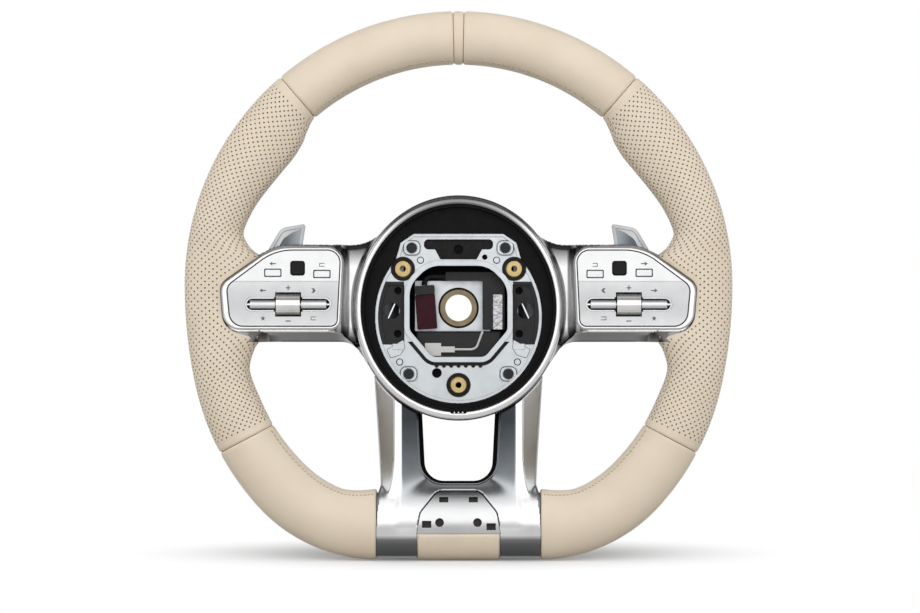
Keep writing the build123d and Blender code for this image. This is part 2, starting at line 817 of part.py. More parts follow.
def rim_pockets():
    """Room that the arms and pods take out of the rim."""
    front = POD_FRONT + RIM_DEPTH
    with BuildSketch() as root:
        add(grown(arm_back_outline(), FIT))
        add(rectangle(0, ARM_TRAY_START + FIT, ARM_BOTTOM - FIT, RING_HALF_HEIGHT), mode=Mode.INTERSECT)
    room = united(
        prism(root.sketch, TRIM_BACK, front),
        prism(grown(arm_back_outline(), FIT), ARM_TRAY_BACK, front),
        prism(grown(arm_front_outline(), FIT), ARM_TRAY_BACK, front),
    )
    return both_sides(room)


# Foam and leather

MARKER_TURN = MARKER_WIDTH / 2 / radians(TOP_RADIUS)


def saddle_round(depth=0.0):
    """Round bar across the wheel whose front is the curve of the saddle, at a depth below it."""
    with BuildPart() as bar:
        with BuildSketch(Plane.YZ):
            with Locations((SADDLE_RADIUS + SADDLE_DROP - RIM_FRONT, RIM_BOTTOM + BOTTOM_WIDTH / 2)):
                Circle(SADDLE_RADIUS - depth)
        extrude(amount=LEG_OUTER_TOP, both=True)
    return bar.part


def saddle(outline):
    """Curved sheet on the front of the rim with one front-view outline."""
    return without(within(prism(outline, RIM_LEVEL, RIM_FRONT), saddle_round()), saddle_round(SADDLE_THICKNESS))


def plate_pocket():
    """Place of the clip plate and the saddle round it, in the front of the foam."""
    outline = rectangle(-PAD_HALF, PAD_HALF, PAD_TOP, WINDOW_BOTTOM)
    return without(prism(outline, RIM_LEVEL, RIM_FRONT), saddle_round(SADDLE_THICKNESS))


def rim_foam(tube):
    sides = both_sides(united(rim_loft(GRIP_WIDTHS, LEATHER), rim_loft(BOTTOM_WIDTHS, LEATHER)))
    blocks = both_sides(rim_flat(PAD_HALF, FLAT_HALF, TRIM_WALL))
    with BuildPart() as foam:
        add(rim_top(-180 - UPPER_SEAM, UPPER_SEAM, LEATHER))
        add(sides)
        add(blocks)
        add(rim_flat(-PAD_HALF, PAD_HALF, LEATHER))
        add(plate_pocket(), mode=Mode.SUBTRACT)
        add(rim_pockets(), mode=Mode.SUBTRACT)
        add(spoke_beams(), mode=Mode.SUBTRACT)
        add(tube_bosses(), mode=Mode.SUBTRACT)
        add(tube, mode=Mode.SUBTRACT)
    return foam.part


def leather_top(start, end):
    return without(rim_top(start, end), rim_top(start, end, LEATHER))


def leather_grip():
    skin = without(rim_loft(GRIP_WIDTHS), rim_loft(GRIP_WIDTHS, LEATHER))
    return without(skin, rim_pockets(), spoke_beams(BEAM_CLEARANCE))


def leather_bottom():
    return without(rim_loft(BOTTOM_WIDTHS), rim_loft(BOTTOM_WIDTHS, LEATHER))


def leather_bottom_center():
    skin = without(rim_flat(-PAD_HALF, PAD_HALF), rim_flat(-PAD_HALF, PAD_HALF, LEATHER))
    above = rectangle(-PAD_HALF, PAD_HALF, PAD_TOP, WINDOW_BOTTOM)
    return without(skin, prism(above, RIM_LEVEL, RIM_FRONT))


# Lower spoke and clip plate

def leg_section(outer, window, rise):
    """Section of a leg: back, shoulder, ridge strip and the lower face beside the window."""
    points = [
        (window, TRIM_BACK),
        (outer, TRIM_BACK),
        (outer, LEG_SHOULDER + rise),
        (LEG_RIDGE_OUTER, LEG_RIDGE_LEVEL + rise),
        (LEG_RIDGE_OUTER - LEG_RIDGE_WIDTH, LEG_RIDGE_LEVEL + rise),
        (window, LEG_INNER_LEVEL + rise),
    ]
    with BuildSketch() as section:
        with BuildLine():
            Polyline([(x, -distance) for x, distance in points], close=True)
        make_face()
    return section.sketch


def spoke_leg():
    with BuildPart() as leg:
        with BuildSketch(Plane.XY.offset(LEG_START)):
            add(leg_section(LEG_OUTER_TOP, WINDOW_BOTTOM_HALF, 0.0))
        with BuildSketch(Plane.XY.offset(LEG_END)):
            add(leg_section(LEG_OUTER_BOTTOM, WINDOW_BOTTOM_HALF - WINDOW_CORNER, LEG_FOOT_RISE))
        loft(ruled=True)
    return leg.part


def leg_hollow():
    """Room inside a leg, open at its back, for the cast spoke."""
    with BuildPart() as hollow:
        with BuildSketch(Plane.XY.offset(LEG_START)):
            add(leg_section(LEG_OUTER_TOP - TRIM_WALL, WINDOW_TOP_HALF + TRIM_WALL, -TRIM_WALL))
        with BuildSketch(Plane.XY.offset(WINDOW_BOTTOM)):
            rise = LEG_FOOT_RISE / 2 - TRIM_WALL
            add(leg_section(LEG_OUTER_BOTTOM - TRIM_WALL, WINDOW_BOTTOM_HALF + TRIM_WALL, rise))
        loft(ruled=True)
    return hollow.part


def spoke_window():
    points = [
        (-WINDOW_TOP_HALF, LEG_START),
        (WINDOW_TOP_HALF, LEG_START),
        (WINDOW_BOTTOM_HALF, WINDOW_BOTTOM),
        (-WINDOW_BOTTOM_HALF, WINDOW_BOTTOM),
    ]
    return rounded_outline(points, [0, 0, WINDOW_CORNER, WINDOW_CORNER])


def plate_outline():
    """Tombstone outline of the clip plate."""
    half = PAD_HALF
    bottom = PAD_TOP + FIT
    middle = (PLATE_TOP + PAD_TOP) / 2
    points = [
        (-half, bottom),
        (half, bottom),
        (half - PLATE_TAPER, middle),
        (PLATE_TOP_HALF, PLATE_TOP),
        (-PLATE_TOP_HALF, PLATE_TOP),
        (-half + PLATE_TAPER, middle),
    ]
    shoulder = PLATE_SHOULDER_RADIUS
    return rounded_outline(points, [0, 0, shoulder, shoulder, shoulder, shoulder])


def lower_spoke_trim(foam):
    block = without(rim_flat(PAD_HALF, FLAT_HALF), rim_flat(PAD_HALF, FLAT_HALF, TRIM_WALL))
    apron = saddle(rectangle(-PAD_HALF, PAD_HALF, PAD_TOP + FIT, WINDOW_BOTTOM))
    bar_outline = rectangle(-PAD_HALF, PAD_HALF, PLATE_TOP + FIT, WINDOW_BOTTOM + WINDOW_CORNER)
    bar = within(prism(bar_outline, ARM_TRAY_BACK, RIM_FRONT), saddle_round())
    legs = both_sides(united(without(spoke_leg(), leg_hollow()), block))
    ring = prism(ellipse(RING_HALF_WIDTH + FIT, RING_HALF_HEIGHT + FIT), TRIM_BACK, RING_FRONT)
    return without(
        united(legs, apron, bar),
        foam,
        leather_bottom_center(),
        spoke_beams(BEAM_CLEARANCE),
        ring,
        prism(spoke_window(), TRIM_BACK, RIM_FRONT),
        prism(grown(plate_outline(), FIT), RIM_LEVEL, RIM_FRONT),
    )


def clip_plate():
    with BuildPart() as plate:
        add(saddle(plate_outline()))
        with BuildSketch(level(RIM_LEVEL)):
            with Locations(*CLIP_SQUARE_PLACES):
                Rectangle(CLIP_SQUARE_WIDTH, CLIP_SQUARE_HEIGHT)
            with Locations(*CLIP_ROUND_PLACES):
                Circle(CLIP_ROUND_RADIUS)
            with Locations(*CLIP_NOTCH_PLACES):
                Rectangle(CLIP_NOTCH_WIDTH, CLIP_NOTCH_HEIGHT)
        extrude(amount=RIM_DEPTH, mode=Mode.SUBTRACT)
    return plate.part


# Switch pods

def pod_frame():
    inner = grown(panel_outline(), -LEDGE_WIDTH)
    with BuildPart() as frame:
        add(prism(pod_outline(), POD_SEAT, POD_FRONT))
        chamfer(frame.edges().group_by(Axis.Y)[0], FRAME_BEVEL)
        add(prism(grown(panel_outline(), PANEL_GAP), PANEL_SEAT, POD_FRONT), mode=Mode.SUBTRACT)
        add(prism(inner, POD_SEAT + POD_FLOOR, PANEL_SEAT), mode=Mode.SUBTRACT)
        with BuildSketch(level(POD_SEAT + POD_FLOOR)):
            with Locations(*axle_post_places()):
                Rectangle(POST_THICKNESS, POST_WIDTH)
        extrude(amount=AXLE_LEVEL + POST_CAP - POD_SEAT - POD_FLOOR)
        with BuildSketch(Plane.YZ.offset(axle_start())):
            with Locations((-AXLE_LEVEL, SLOT_Z)):
                Circle(AXLE_RADIUS)
        extrude(amount=axle_length(), mode=Mode.SUBTRACT)
    return frame.part


def axle_post_places():
    reach = SLOT_LENGTH / 2 + POST_THICKNESS / 2 - FIT
    return [(SLOT_X - reach, SLOT_Z), (SLOT_X + reach, SLOT_Z)]


def axle_start():
    return SLOT_X - SLOT_LENGTH / 2 - POST_THICKNESS


def axle_length():
    return SLOT_LENGTH + 2 * POST_THICKNESS


def axle_rod():
    with BuildPart() as rod:
        with BuildSketch(Plane.YZ.offset(axle_start())):
            with Locations((-AXLE_LEVEL, SLOT_Z)):
                Circle(AXLE_RADIUS)
        extrude(amount=axle_length())
    return rod.part


KEY_SIZES = {
    "key_outer": (KEY_OUTER_X, KEY_OUTER_Z, KEY_WIDTH, KEY_HEIGHT, KEY_CORNER),
    "key_inner": (KEY_INNER_X, KEY_INNER_Z, KEY_WIDTH, KEY_HEIGHT, KEY_CORNER),
    "touch_pad": (PAD_X, PAD_Z, PAD_SIZE, PAD_SIZE, PAD_CORNER),
}


def switch_panel():
    upper = rectangle(POD_INNER_X, POD_OUTER_X, CREASE_Z, POD_TOP)
    with BuildPart() as panel:
        add(prism(panel_outline(), PANEL_SEAT, PANEL_FRONT))
        with BuildSketch(level(PANEL_FRONT)):
            add(panel_outline())
            add(upper, mode=Mode.INTERSECT)
        extrude(amount=PANEL_RAISE)
        with BuildSketch(level(PANEL_SEAT)):
            for x, z, width, height, corner in KEY_SIZES.values():
                with Locations((x, z)):
                    RectangleRounded(width + 2 * KEY_CLEARANCE, height + 2 * KEY_CLEARANCE, corner)
            with Locations((SLOT_X, SLOT_Z)):
                SlotOverall(SLOT_LENGTH, SLOT_HEIGHT)
            with Locations((SLOT_X, SLOT_Z)):
                Rectangle(ROLLER_WIDTH + 2 * BAR_ROLLER_GAP, 2 * ROLLER_RADIUS + BAR_ROLLER_GAP)
        extrude(amount=PANEL_THICKNESS + PANEL_RAISE, mode=Mode.SUBTRACT)
        with BuildSketch(level(PANEL_SEAT)):
            with Locations(*axle_post_places()):
                Rectangle(POST_THICKNESS + 2 * FIT, POST_WIDTH + 2 * FIT)
        extrude(amount=AXLE_LEVEL + POST_CAP + FIT - PANEL_SEAT, mode=Mode.SUBTRACT)
    return panel.part


def switch_board():
    with BuildPart() as board:
        add(prism(grown(panel_outline(), -LEDGE_WIDTH - FIT), BOARD_BACK, BOARD_FRONT))
        with BuildSketch(level(BOARD_BACK)):
            with Locations(*axle_post_places()):
                Rectangle(POST_THICKNESS + 2 * FIT, POST_WIDTH + 2 * FIT)
        extrude(amount=BOARD_THICKNESS, mode=Mode.SUBTRACT)
    return board.part


def key(x, z, width, height, corner):
    """Key cap in its panel window, with a flange behind the panel and a stem to the board."""
    flange_back = PANEL_SEAT - FIT - KEY_FLANGE_DEPTH
    stem_back = BOARD_FRONT + KEY_TRAVEL + FIT
    with BuildPart() as solid:
        with BuildSketch(level(flange_back)):
            with Locations((x, z)):
                RectangleRounded(width, height, corner)
        extrude(amount=POD_FRONT + KEY_PROUD - flange_back)
        fillet(solid.edges().group_by(Axis.Y)[0], KEY_EDGE)
        with BuildSketch(level(flange_back)):
            with Locations((x, z)):
                Rectangle(width + 2 * KEY_FLANGE, height + 2 * KEY_FLANGE)
        extrude(amount=KEY_FLANGE_DEPTH)
        with BuildSketch(level(stem_back)):
            with Locations((x, z)):
                Rectangle(STEM_SIZE, STEM_SIZE)
        extrude(amount=flange_back - stem_back)
    return solid.part


def roller():
    """Drum on the axle with fine ridges along it."""
    with BuildPart() as drum:
        with BuildSketch(Plane.YZ.offset(SLOT_X - ROLLER_WIDTH / 2)):
            with Locations((-AXLE_LEVEL, SLOT_Z)):
                Circle(ROLLER_RADIUS)
                Circle(AXLE_RADIUS + RUNNING_FIT, mode=Mode.SUBTRACT)
                with PolarLocations(ROLLER_RADIUS, ROLLER_RIDGES):
                    Rectangle(2 * RIDGE_DEPTH, RIDGE_DEPTH, mode=Mode.SUBTRACT)
        extrude(amount=ROLLER_WIDTH)
    return drum.part


def rocker_bar(inner_x, outer_x):
    """Bar that rocks on the axle beside the roller, with a rounded front."""
    with BuildPart() as bar:
        with BuildSketch(Plane.YZ.offset(inner_x)):
            with Locations((-AXLE_LEVEL + (BAR_BACK - AXLE_DROP - BAR_PROUD) / 2, SLOT_Z)):
                Rectangle(BAR_BACK + AXLE_DROP + BAR_PROUD, BAR_HEIGHT)
            with Locations((-AXLE_LEVEL, SLOT_Z)):
                Circle(AXLE_RADIUS + RUNNING_FIT, mode=Mode.SUBTRACT)
        extrude(amount=outer_x - inner_x)
        fillet(bar.faces().sort_by(Axis.Y)[0].edges().filter_by(Axis.X), BAR_ROUND)
    return bar.part


# Paddles

def paddle_outline():
    """Narrow neck at the pivot, then a blade that rises above the arm."""
    points = [
        (PIVOT_X, -EYE_HALF),
        (PADDLE_NECK_X, -EYE_HALF),
        (PADDLE_HEEL_X, PADDLE_HEEL_Z),
        (PADDLE_SIDE_X, PADDLE_SIDE_Z),
        (PADDLE_CREST_X, PADDLE_CREST_Z),
        (PADDLE_TIP_X, PADDLE_TIP_Z),
        (PADDLE_WAIST_X, ARM_TOP),
        (PADDLE_NECK_X, EYE_HALF),
        (PIVOT_X, EYE_HALF),
    ]
    bend = PADDLE_BEND
    return rounded_outline(points, [0, bend, bend, bend, bend, PADDLE_CORNER, bend, bend, 0])


def paddle():
    with BuildPart() as blade:
        add(prism(paddle_outline(), PADDLE_LEVEL, PADDLE_FRONT + PADDLE_BAND))
        facet = grown(paddle_outline(), -2 * PADDLE_BAND)
        add(prism(facet, PADDLE_FRONT, PADDLE_FRONT + PADDLE_BAND), mode=Mode.SUBTRACT)
        with BuildSketch(Plane.XY.offset(-EYE_HALF)):
            with Locations((PIVOT_X, -EYE_LEVEL)):
                Circle(EYE_RADIUS)
        extrude(amount=2 * EYE_HALF)
        with BuildSketch(Plane.XY.offset(-EYE_HALF)):
            with Locations((PIVOT_X, -EYE_LEVEL)):
                Circle(PIVOT_RADIUS + RUNNING_FIT)
        extrude(amount=2 * EYE_HALF, mode=Mode.SUBTRACT)
    return blade.part


def paddle_pivot():
    with BuildPart() as pin:
        with BuildSketch(Plane.XY.offset(-PIVOT_HALF)):
            with Locations((PIVOT_X, -EYE_LEVEL)):
                Circle(PIVOT_RADIUS)
        extrude(amount=2 * PIVOT_HALF)
    return pin.part


def paddle_bracket(cover_form):
    """Clevis on the side of the rear cover that holds the pivot above and below the eye."""
    ear_start = EYE_HALF + EAR_GAP
    with BuildPart() as bracket:
        with BuildSketch(Plane.XY.offset(ear_start)) as ear:
            with Locations((PIVOT_X, -EYE_LEVEL)):
                Circle(EAR_RADIUS)
            with Locations(((PIVOT_X + BRACKET_INNER_X) / 2, -EYE_LEVEL)):
                Rectangle(PIVOT_X - BRACKET_INNER_X, 2 * EAR_RADIUS)
        extrude(amount=EAR_THICKNESS)
        mirror(about=Plane.XY)
        add(cover_form, mode=Mode.SUBTRACT)
        with BuildSketch(Plane.XY.offset(-PIVOT_HALF)):
            with Locations((PIVOT_X, -EYE_LEVEL)):
                Circle(PIVOT_RADIUS)
        extrude(amount=2 * PIVOT_HALF, mode=Mode.SUBTRACT)
    return bracket.part


# Airbag carrier

def carrier_outline(inset=0.0):
    """Round carrier with a flat top and bevelled upper corners, smaller all round by an inset."""
    points = [
        (-CARRIER_TOP_HALF, CARRIER_TOP - inset),
        (CARRIER_TOP_HALF, CARRIER_TOP - inset),
        (CARRIER_CORNER_X - inset, CARRIER_CORNER_Z - inset / 2),
        (CARRIER_SHOULDER_X - inset, CARRIER_CENTRE_Z),
        (-CARRIER_SHOULDER_X + inset, CARRIER_CENTRE_Z),
        (-CARRIER_CORNER_X + inset, CARRIER_CORNER_Z - inset / 2),
    ]
    below_top = rectangle(-RIM_HALF_WIDTH, RIM_HALF_WIDTH, RIM_BOTTOM, CARRIER_TOP - inset)
    with BuildSketch() as sketch:
        with Locations((0, CARRIER_CENTRE_Z)):
            Ellipse(CARRIER_HALF_WIDTH - inset, CARRIER_HALF_HEIGHT - inset)
        add(below_top, mode=Mode.INTERSECT)
        with BuildLine():
            Polyline(points, close=True)
        make_face()
    return sketch.sketch


def carrier_window():
    points = [
        (-WINDOW_UPPER_HALF, CARRIER_WINDOW_TOP),
        (WINDOW_UPPER_HALF, CARRIER_WINDOW_TOP),
        (WINDOW_HALF, WINDOW_SIDE_TOP),
        (WINDOW_HALF, WINDOW_SIDE_BOTTOM),
        (WINDOW_LOWER_HALF, CARRIER_WINDOW_BOTTOM),
        (-WINDOW_LOWER_HALF, CARRIER_WINDOW_BOTTOM),
        (-WINDOW_HALF, WINDOW_SIDE_BOTTOM),
        (-WINDOW_HALF, WINDOW_SIDE_TOP),
    ]
    upper, lower = WINDOW_UPPER_ROUND, WINDOW_ROUND
    return rounded_outline(points, [upper, upper, upper, lower, lower, lower, lower, upper])


def side_opening(overlap=0.0):
    """Opening between the window border and the flange on the right of the carrier."""
    left = WINDOW_HALF + BORDER_WIDTH - overlap
    bottom = SIDE_OPENING_BOTTOM - overlap
    with BuildSketch() as sketch:
        add(carrier_outline(2 * FLANGE_THICKNESS - overlap))
        add(rectangle(left, RIM_HALF_WIDTH, bottom, SIDE_OPENING_TOP + overlap), mode=Mode.INTERSECT)
    return sketch.sketch


def t_slot():
    points = [
        (-T_SLOT_HALF, T_SLOT_TOP),
        (T_SLOT_HALF, T_SLOT_TOP),
        (T_SLOT_HALF, T_SLOT_MIDDLE),
        (T_FOOT_TOP_HALF, T_SLOT_MIDDLE),
        (T_FOOT_BOTTOM_HALF, T_SLOT_BOTTOM),
        (-T_FOOT_BOTTOM_HALF, T_SLOT_BOTTOM),
        (-T_FOOT_TOP_HALF, T_SLOT_MIDDLE),
        (-T_SLOT_HALF, T_SLOT_MIDDLE),
    ]
    end, corner = T_SLOT_ROUND, SMALL_CORNER
    return rounded_outline(points, [end, end, end, corner, corner, corner, corner, end])


def corner_plates():
    """Raised plates round the four bumpers."""
    with BuildPart() as plates:
        with BuildSketch(level(CARRIER_FRONT)):
            with Locations(*BUMPER_PLACES):
                RectangleRounded(CORNER_PLATE_WIDTH, CORNER_PLATE_HEIGHT, CORNER_PLATE_ROUND)
            add(carrier_outline(FLANGE_THICKNESS), mode=Mode.INTERSECT)
            with Locations(*BUMPER_PLACES):
                Circle(BUMPER_RADIUS + BUMPER_CLEARANCE, mode=Mode.SUBTRACT)
        extrude(amount=CORNER_PLATE_RAISE)
    return plates.part


def folded_clips():
    with BuildPart() as clips:
        with BuildSketch(level(CARRIER_FRONT)):
            with Locations((-FOLDED_CLIP_X, FOLDED_CLIP_Z), (FOLDED_CLIP_X, FOLDED_CLIP_Z)):
                Rectangle(FOLDED_CLIP_WIDTH, FOLDED_CLIP_HEIGHT)
        extrude(amount=FOLDED_CLIP_RAISE)
    return clips.part


def airbag_carrier():
    openings = prism(side_opening(), CARRIER_BACK, CARRIER_FRONT)
    pilot_hole = circles([PILOT_HOLE_PLACE], PILOT_HOLE_RADIUS)
    drain_hole = circles([DRAIN_HOLE_PLACE], DRAIN_HOLE_RADIUS)
    with BuildPart() as carrier:
        add(prism(carrier_outline(), FLANGE_BACK, FLANGE_FRONT))
        inside = carrier_outline(FLANGE_THICKNESS)
        add(prism(inside, CARRIER_FRONT, FLANGE_FRONT), mode=Mode.SUBTRACT)
        add(prism(inside, FLANGE_BACK, CARRIER_BACK), mode=Mode.SUBTRACT)
        add(prism(grown(carrier_window(), BORDER_WIDTH), CARRIER_BACK, BORDER_FRONT))
        add(prism(carrier_window(), CARRIER_BACK, BORDER_FRONT), mode=Mode.SUBTRACT)
        add(prism(t_slot(), CARRIER_BACK, CARRIER_FRONT), mode=Mode.SUBTRACT)
        add(prism(circles(BUSH_PLACES, DAMPER_RADIUS), FLANGE_BACK, FLANGE_FRONT), mode=Mode.SUBTRACT)
        add(both_sides(openings), mode=Mode.SUBTRACT)
        add(corner_plates())
        add(folded_clips())
        add(prism(pilot_hole, CARRIER_BACK, CARRIER_FRONT), mode=Mode.SUBTRACT)
        add(prism(drain_hole, CARRIER_BACK, CARRIER_FRONT), mode=Mode.SUBTRACT)
        add(spoke_beams(BEAM_CLEARANCE), mode=Mode.SUBTRACT)
    return carrier.part


def carrier_insert():
    with BuildPart() as insert:
        add(prism(side_opening(INSERT_OVERLAP), CARRIER_BACK - INSERT_THICKNESS, CARRIER_BACK))
        hole = circles([(LATCH_HOLE_X, LATCH_HOLE_Z)], LATCH_HOLE_RADIUS)
        add(prism(hole, CARRIER_BACK - INSERT_THICKNESS, CARRIER_BACK), mode=Mode.SUBTRACT)
        vents = circles(INSERT_VENT_PLACES, INSERT_VENT_RADIUS)
        add(prism(vents, CARRIER_BACK - INSERT_THICKNESS, CARRIER_BACK), mode=Mode.SUBTRACT)
    return insert.part


def latch_spring():
    """Wire across the latch hole, lying on the back of the insert."""
    wire_level = CARRIER_BACK - INSERT_THICKNESS - LATCH_WIRE_RADIUS
    middle = (LATCH_HOLE_X, -wire_level, LATCH_HOLE_Z)
    with BuildPart() as wire:
        with BuildSketch(Plane(origin=middle, x_dir=(0, 1, 0), z_dir=(LATCH_WIRE_LEAN, 0, -1))):
            Circle(LATCH_WIRE_RADIUS)
        extrude(amount=LATCH_WIRE_LENGTH / 2, both=True)
    return wire.part


def carrier_bushes():
    with BuildPart() as bushes:
        with BuildSketch(level(BRASS_BACK)):
            with Locations(*BUSH_PLACES):
                Circle(BRASS_RADIUS)
                Circle(THREAD_RADIUS, mode=Mode.SUBTRACT)
        extrude(amount=BRASS_FRONT - BRASS_BACK)
        front_edges = bushes.edges().group_by(Axis.Y)[0].sort_by(Edge.length)
        chamfer(front_edges[-len(BUSH_PLACES):], BRASS_CHAMFER)
    return bushes.part


def carrier_dampers():
    with BuildPart() as dampers:
        with BuildSketch(level(DAMPER_BACK)):
            with Locations(*BUSH_PLACES):
                Circle(DAMPER_RADIUS)
                Circle(BRASS_RADIUS, mode=Mode.SUBTRACT)
        extrude(amount=DAMPER_FRONT - DAMPER_BACK)
    return dampers.part


def window_gasket():
    """Scalloped rubber strip under the window and the rubber plate behind the T slot."""
    plate_back = CARRIER_BACK - T_PLATE_THICKNESS
    lower_edge = CARRIER_WINDOW_BOTTOM - BORDER_WIDTH - GASKET_WIDTH
    with BuildPart() as gasket:
        with BuildSketch(level(CARRIER_FRONT)):
            add(grown(carrier_window(), BORDER_WIDTH + GASKET_WIDTH))
            add(grown(carrier_window(), BORDER_WIDTH), mode=Mode.SUBTRACT)
            below = rectangle(-RIM_HALF_WIDTH, RIM_HALF_WIDTH, RIM_BOTTOM, SIDE_OPENING_BOTTOM)
            add(below, mode=Mode.INTERSECT)
            with Locations((0, lower_edge)):
                with GridLocations(GASKET_TOOTH_PITCH, GASKET_TOOTH_PITCH, GASKET_TEETH, 1):
                    Circle(GASKET_TOOTH_RADIUS)
        extrude(amount=GASKET_THICKNESS)
        with BuildSketch(level(plate_back)):
            add(grown(t_slot(), T_PLATE_BORDER))
            with Locations((0, T_SLOT_MIDDLE)):
                Circle(T_PLATE_HOLE, mode=Mode.SUBTRACT)
        extrude(amount=T_PLATE_THICKNESS)
    return gasket.part


# Liner and rear cover

def hub_liner():
    """Black ring inside the bezel with a floor that reaches in to the carrier."""
    floor_back = BEAM_FRONT + FIT
    with BuildPart() as liner:
        add(prism(ellipse(RING_INNER_WIDTH, RING_INNER_HEIGHT), floor_back, LINER_FRONT))
        bore = ellipse(RING_INNER_WIDTH - LINER_WALL, RING_INNER_HEIGHT - LINER_WALL)
        add(prism(bore, floor_back + LINER_WALL, LINER_FRONT), mode=Mode.SUBTRACT)
        add(prism(carrier_outline(-LINER_GAP), floor_back, LINER_FRONT), mode=Mode.SUBTRACT)
    return liner.part


def cover_form(wall, back):
    """Tapered oval bowl behind the hub, smaller all round by a wall."""
    with BuildPart() as form:
        with BuildSketch(level(back)):
            Ellipse(COVER_BACK_HALF_WIDTH - wall, COVER_BACK_HALF_HEIGHT - wall)
        with BuildSketch(level(TRIM_BACK)):
            Ellipse(RING_HALF_WIDTH - COVER_EDGE - wall, RING_HALF_HEIGHT - COVER_EDGE - wall)
        loft(ruled=True)
    return form.part


def rear_cover():
    spoke_back = TRIM_BACK - COVER_WALL
    plate = prism(grown(arm_back_outline(), -SPOKE_COVER_INSET), spoke_back, TRIM_BACK)
    beyond = rectangle(SPOKE_COVER_END, RIM_HALF_WIDTH, RIM_BOTTOM, RIM_HALF_WIDTH)
    leg = rectangle(WINDOW_TOP_HALF, LEG_OUTER_BOTTOM, LEG_COVER_END, LEG_START)
    side = united(without(plate, prism(beyond, spoke_back, TRIM_BACK)), prism(leg, spoke_back, TRIM_BACK))
    with BuildPart() as cover:
        add(cover_form(0.0, COVER_BACK))
        add(both_sides(side))
        add(cover_form(COVER_WALL, COVER_BACK + COVER_WALL), mode=Mode.SUBTRACT)
        with BuildSketch(level(COVER_BACK)):
            Circle(COVER_OPENING)
            with Locations(*SCREW_PLACES):
                Circle(SCREW_RADIUS)
        extrude(amount=COVER_WALL, mode=Mode.SUBTRACT)
        add(spoke_beams(), mode=Mode.SUBTRACT)
    return cover.part


def cover_screws():
    with BuildPart() as screws:
        with BuildSketch(level(COVER_BACK - SCREW_HEAD)):
            with Locations(*SCREW_PLACES):
                Circle(SCREW_HEAD_RADIUS)
        extrude(amount=SCREW_HEAD)
        with BuildSketch(level(COVER_BACK)):
            with Locations(*SCREW_PLACES):
                Circle(SCREW_RADIUS)
        extrude(amount=SCREW_LENGTH)
    return screws.part


# Electrics behind the window

def control_module():
    outline = rectangle(-MODULE_HALF, MODULE_HALF, MODULE_BOTTOM, MODULE_TOP)
    with BuildPart() as module:
        add(prism(outline, HUB_PLATE_FRONT, MODULE_FRONT))
        chamfer(module.edges().group_by(Axis.Y)[0], SMALL_CORNER)
    return module.part


def foil_socket():
    """Angled housing right of the bush with a cable duct along its top."""
    points = [
        (SOCKET_LEFT, -SOCKET_HALF_HEIGHT),
        (SOCKET_RIGHT, -SOCKET_HALF_HEIGHT),
        (SOCKET_RIGHT, DUCT_TOP - DUCT_CORNER),
        (SOCKET_RIGHT - DUCT_CORNER, DUCT_TOP),
        (DUCT_LEFT, DUCT_TOP),
        (DUCT_LEFT, DUCT_BOTTOM),
        (SOCKET_LEFT, DUCT_BOTTOM),
    ]
    return prism(rounded_outline(points, [SMALL_CORNER] * len(points)), HUB_PLATE_FRONT, SOCKET_FRONT)


def plug_block(start, end, front):
    """Stretch of the leaning plug between two distances from its middle."""
    lean = radians(PLUG_TILT)
    middle = (start + end) / 2
    place = Location((PLUG_X - middle * sin(lean), PLUG_Z + middle * cos(lean)), PLUG_TILT)
    with BuildSketch() as sketch:
        with Locations(place):
            RectangleRounded(PLUG_WIDTH, end - start, SMALL_CORNER)
    return prism(sketch.sketch, HUB_PLATE_FRONT, front)


def plug_cap():
    return plug_block(PLUG_HEIGHT / 2, PLUG_HEIGHT / 2 + CAP_HEIGHT, PLUG_FRONT + CAP_RAISE)


def held_wire(points, radius, bend, wire_level):
    """Wire that the housings hold from end to end, in one level."""
    start = Vector(points[0][0], -wire_level, points[0][1])
    second = Vector(points[1][0], -wire_level, points[1][1])
    with BuildPart() as wire:
        with BuildLine(level(wire_level)) as path:
            FilletPolyline(points, radius=bend)
        with BuildSketch(Plane(origin=start, z_dir=second - start)):
            Circle(radius)
        sweep(path=path.line)
    return wire.part


def harness_cable():
    lean = radians(PLUG_TILT)
    reach = PLUG_HEIGHT / 2 + CAP_HEIGHT + FIT
    plug_x = PLUG_X - reach * sin(lean)
    duct_z = (DUCT_BOTTOM + DUCT_TOP) / 2
    points = [(DUCT_LEFT, duct_z), (plug_x, duct_z), (plug_x, PLUG_Z + reach * cos(lean))]
    return held_wire(points, CABLE_RADIUS, CABLE_BEND, CABLE_LEVEL)


def wire_terminal():
    pad = rectangle(TERMINAL_LEFT, TERMINAL_NECK, TERMINAL_BOTTOM, TERMINAL_TOP)
    middle = (TERMINAL_TOP + TERMINAL_BOTTOM) / 2
    neck = rectangle(TERMINAL_NECK, TERMINAL_RIGHT, middle - TERMINAL_THICKNESS, middle + TERMINAL_THICKNESS)
    front = MODULE_FRONT + TERMINAL_THICKNESS
    return united(prism(pad, MODULE_FRONT, front), prism(neck, MODULE_FRONT, front))


def ground_wire():
    middle = (TERMINAL_TOP + TERMINAL_BOTTOM) / 2
    points = [(TERMINAL_RIGHT, middle), (WIRE_CORNER_X, middle), (SOCKET_LEFT, MODULE_TOP)]
    return held_wire(points, WIRE_RADIUS, CABLE_BEND, MODULE_FRONT + WIRE_RADIUS)


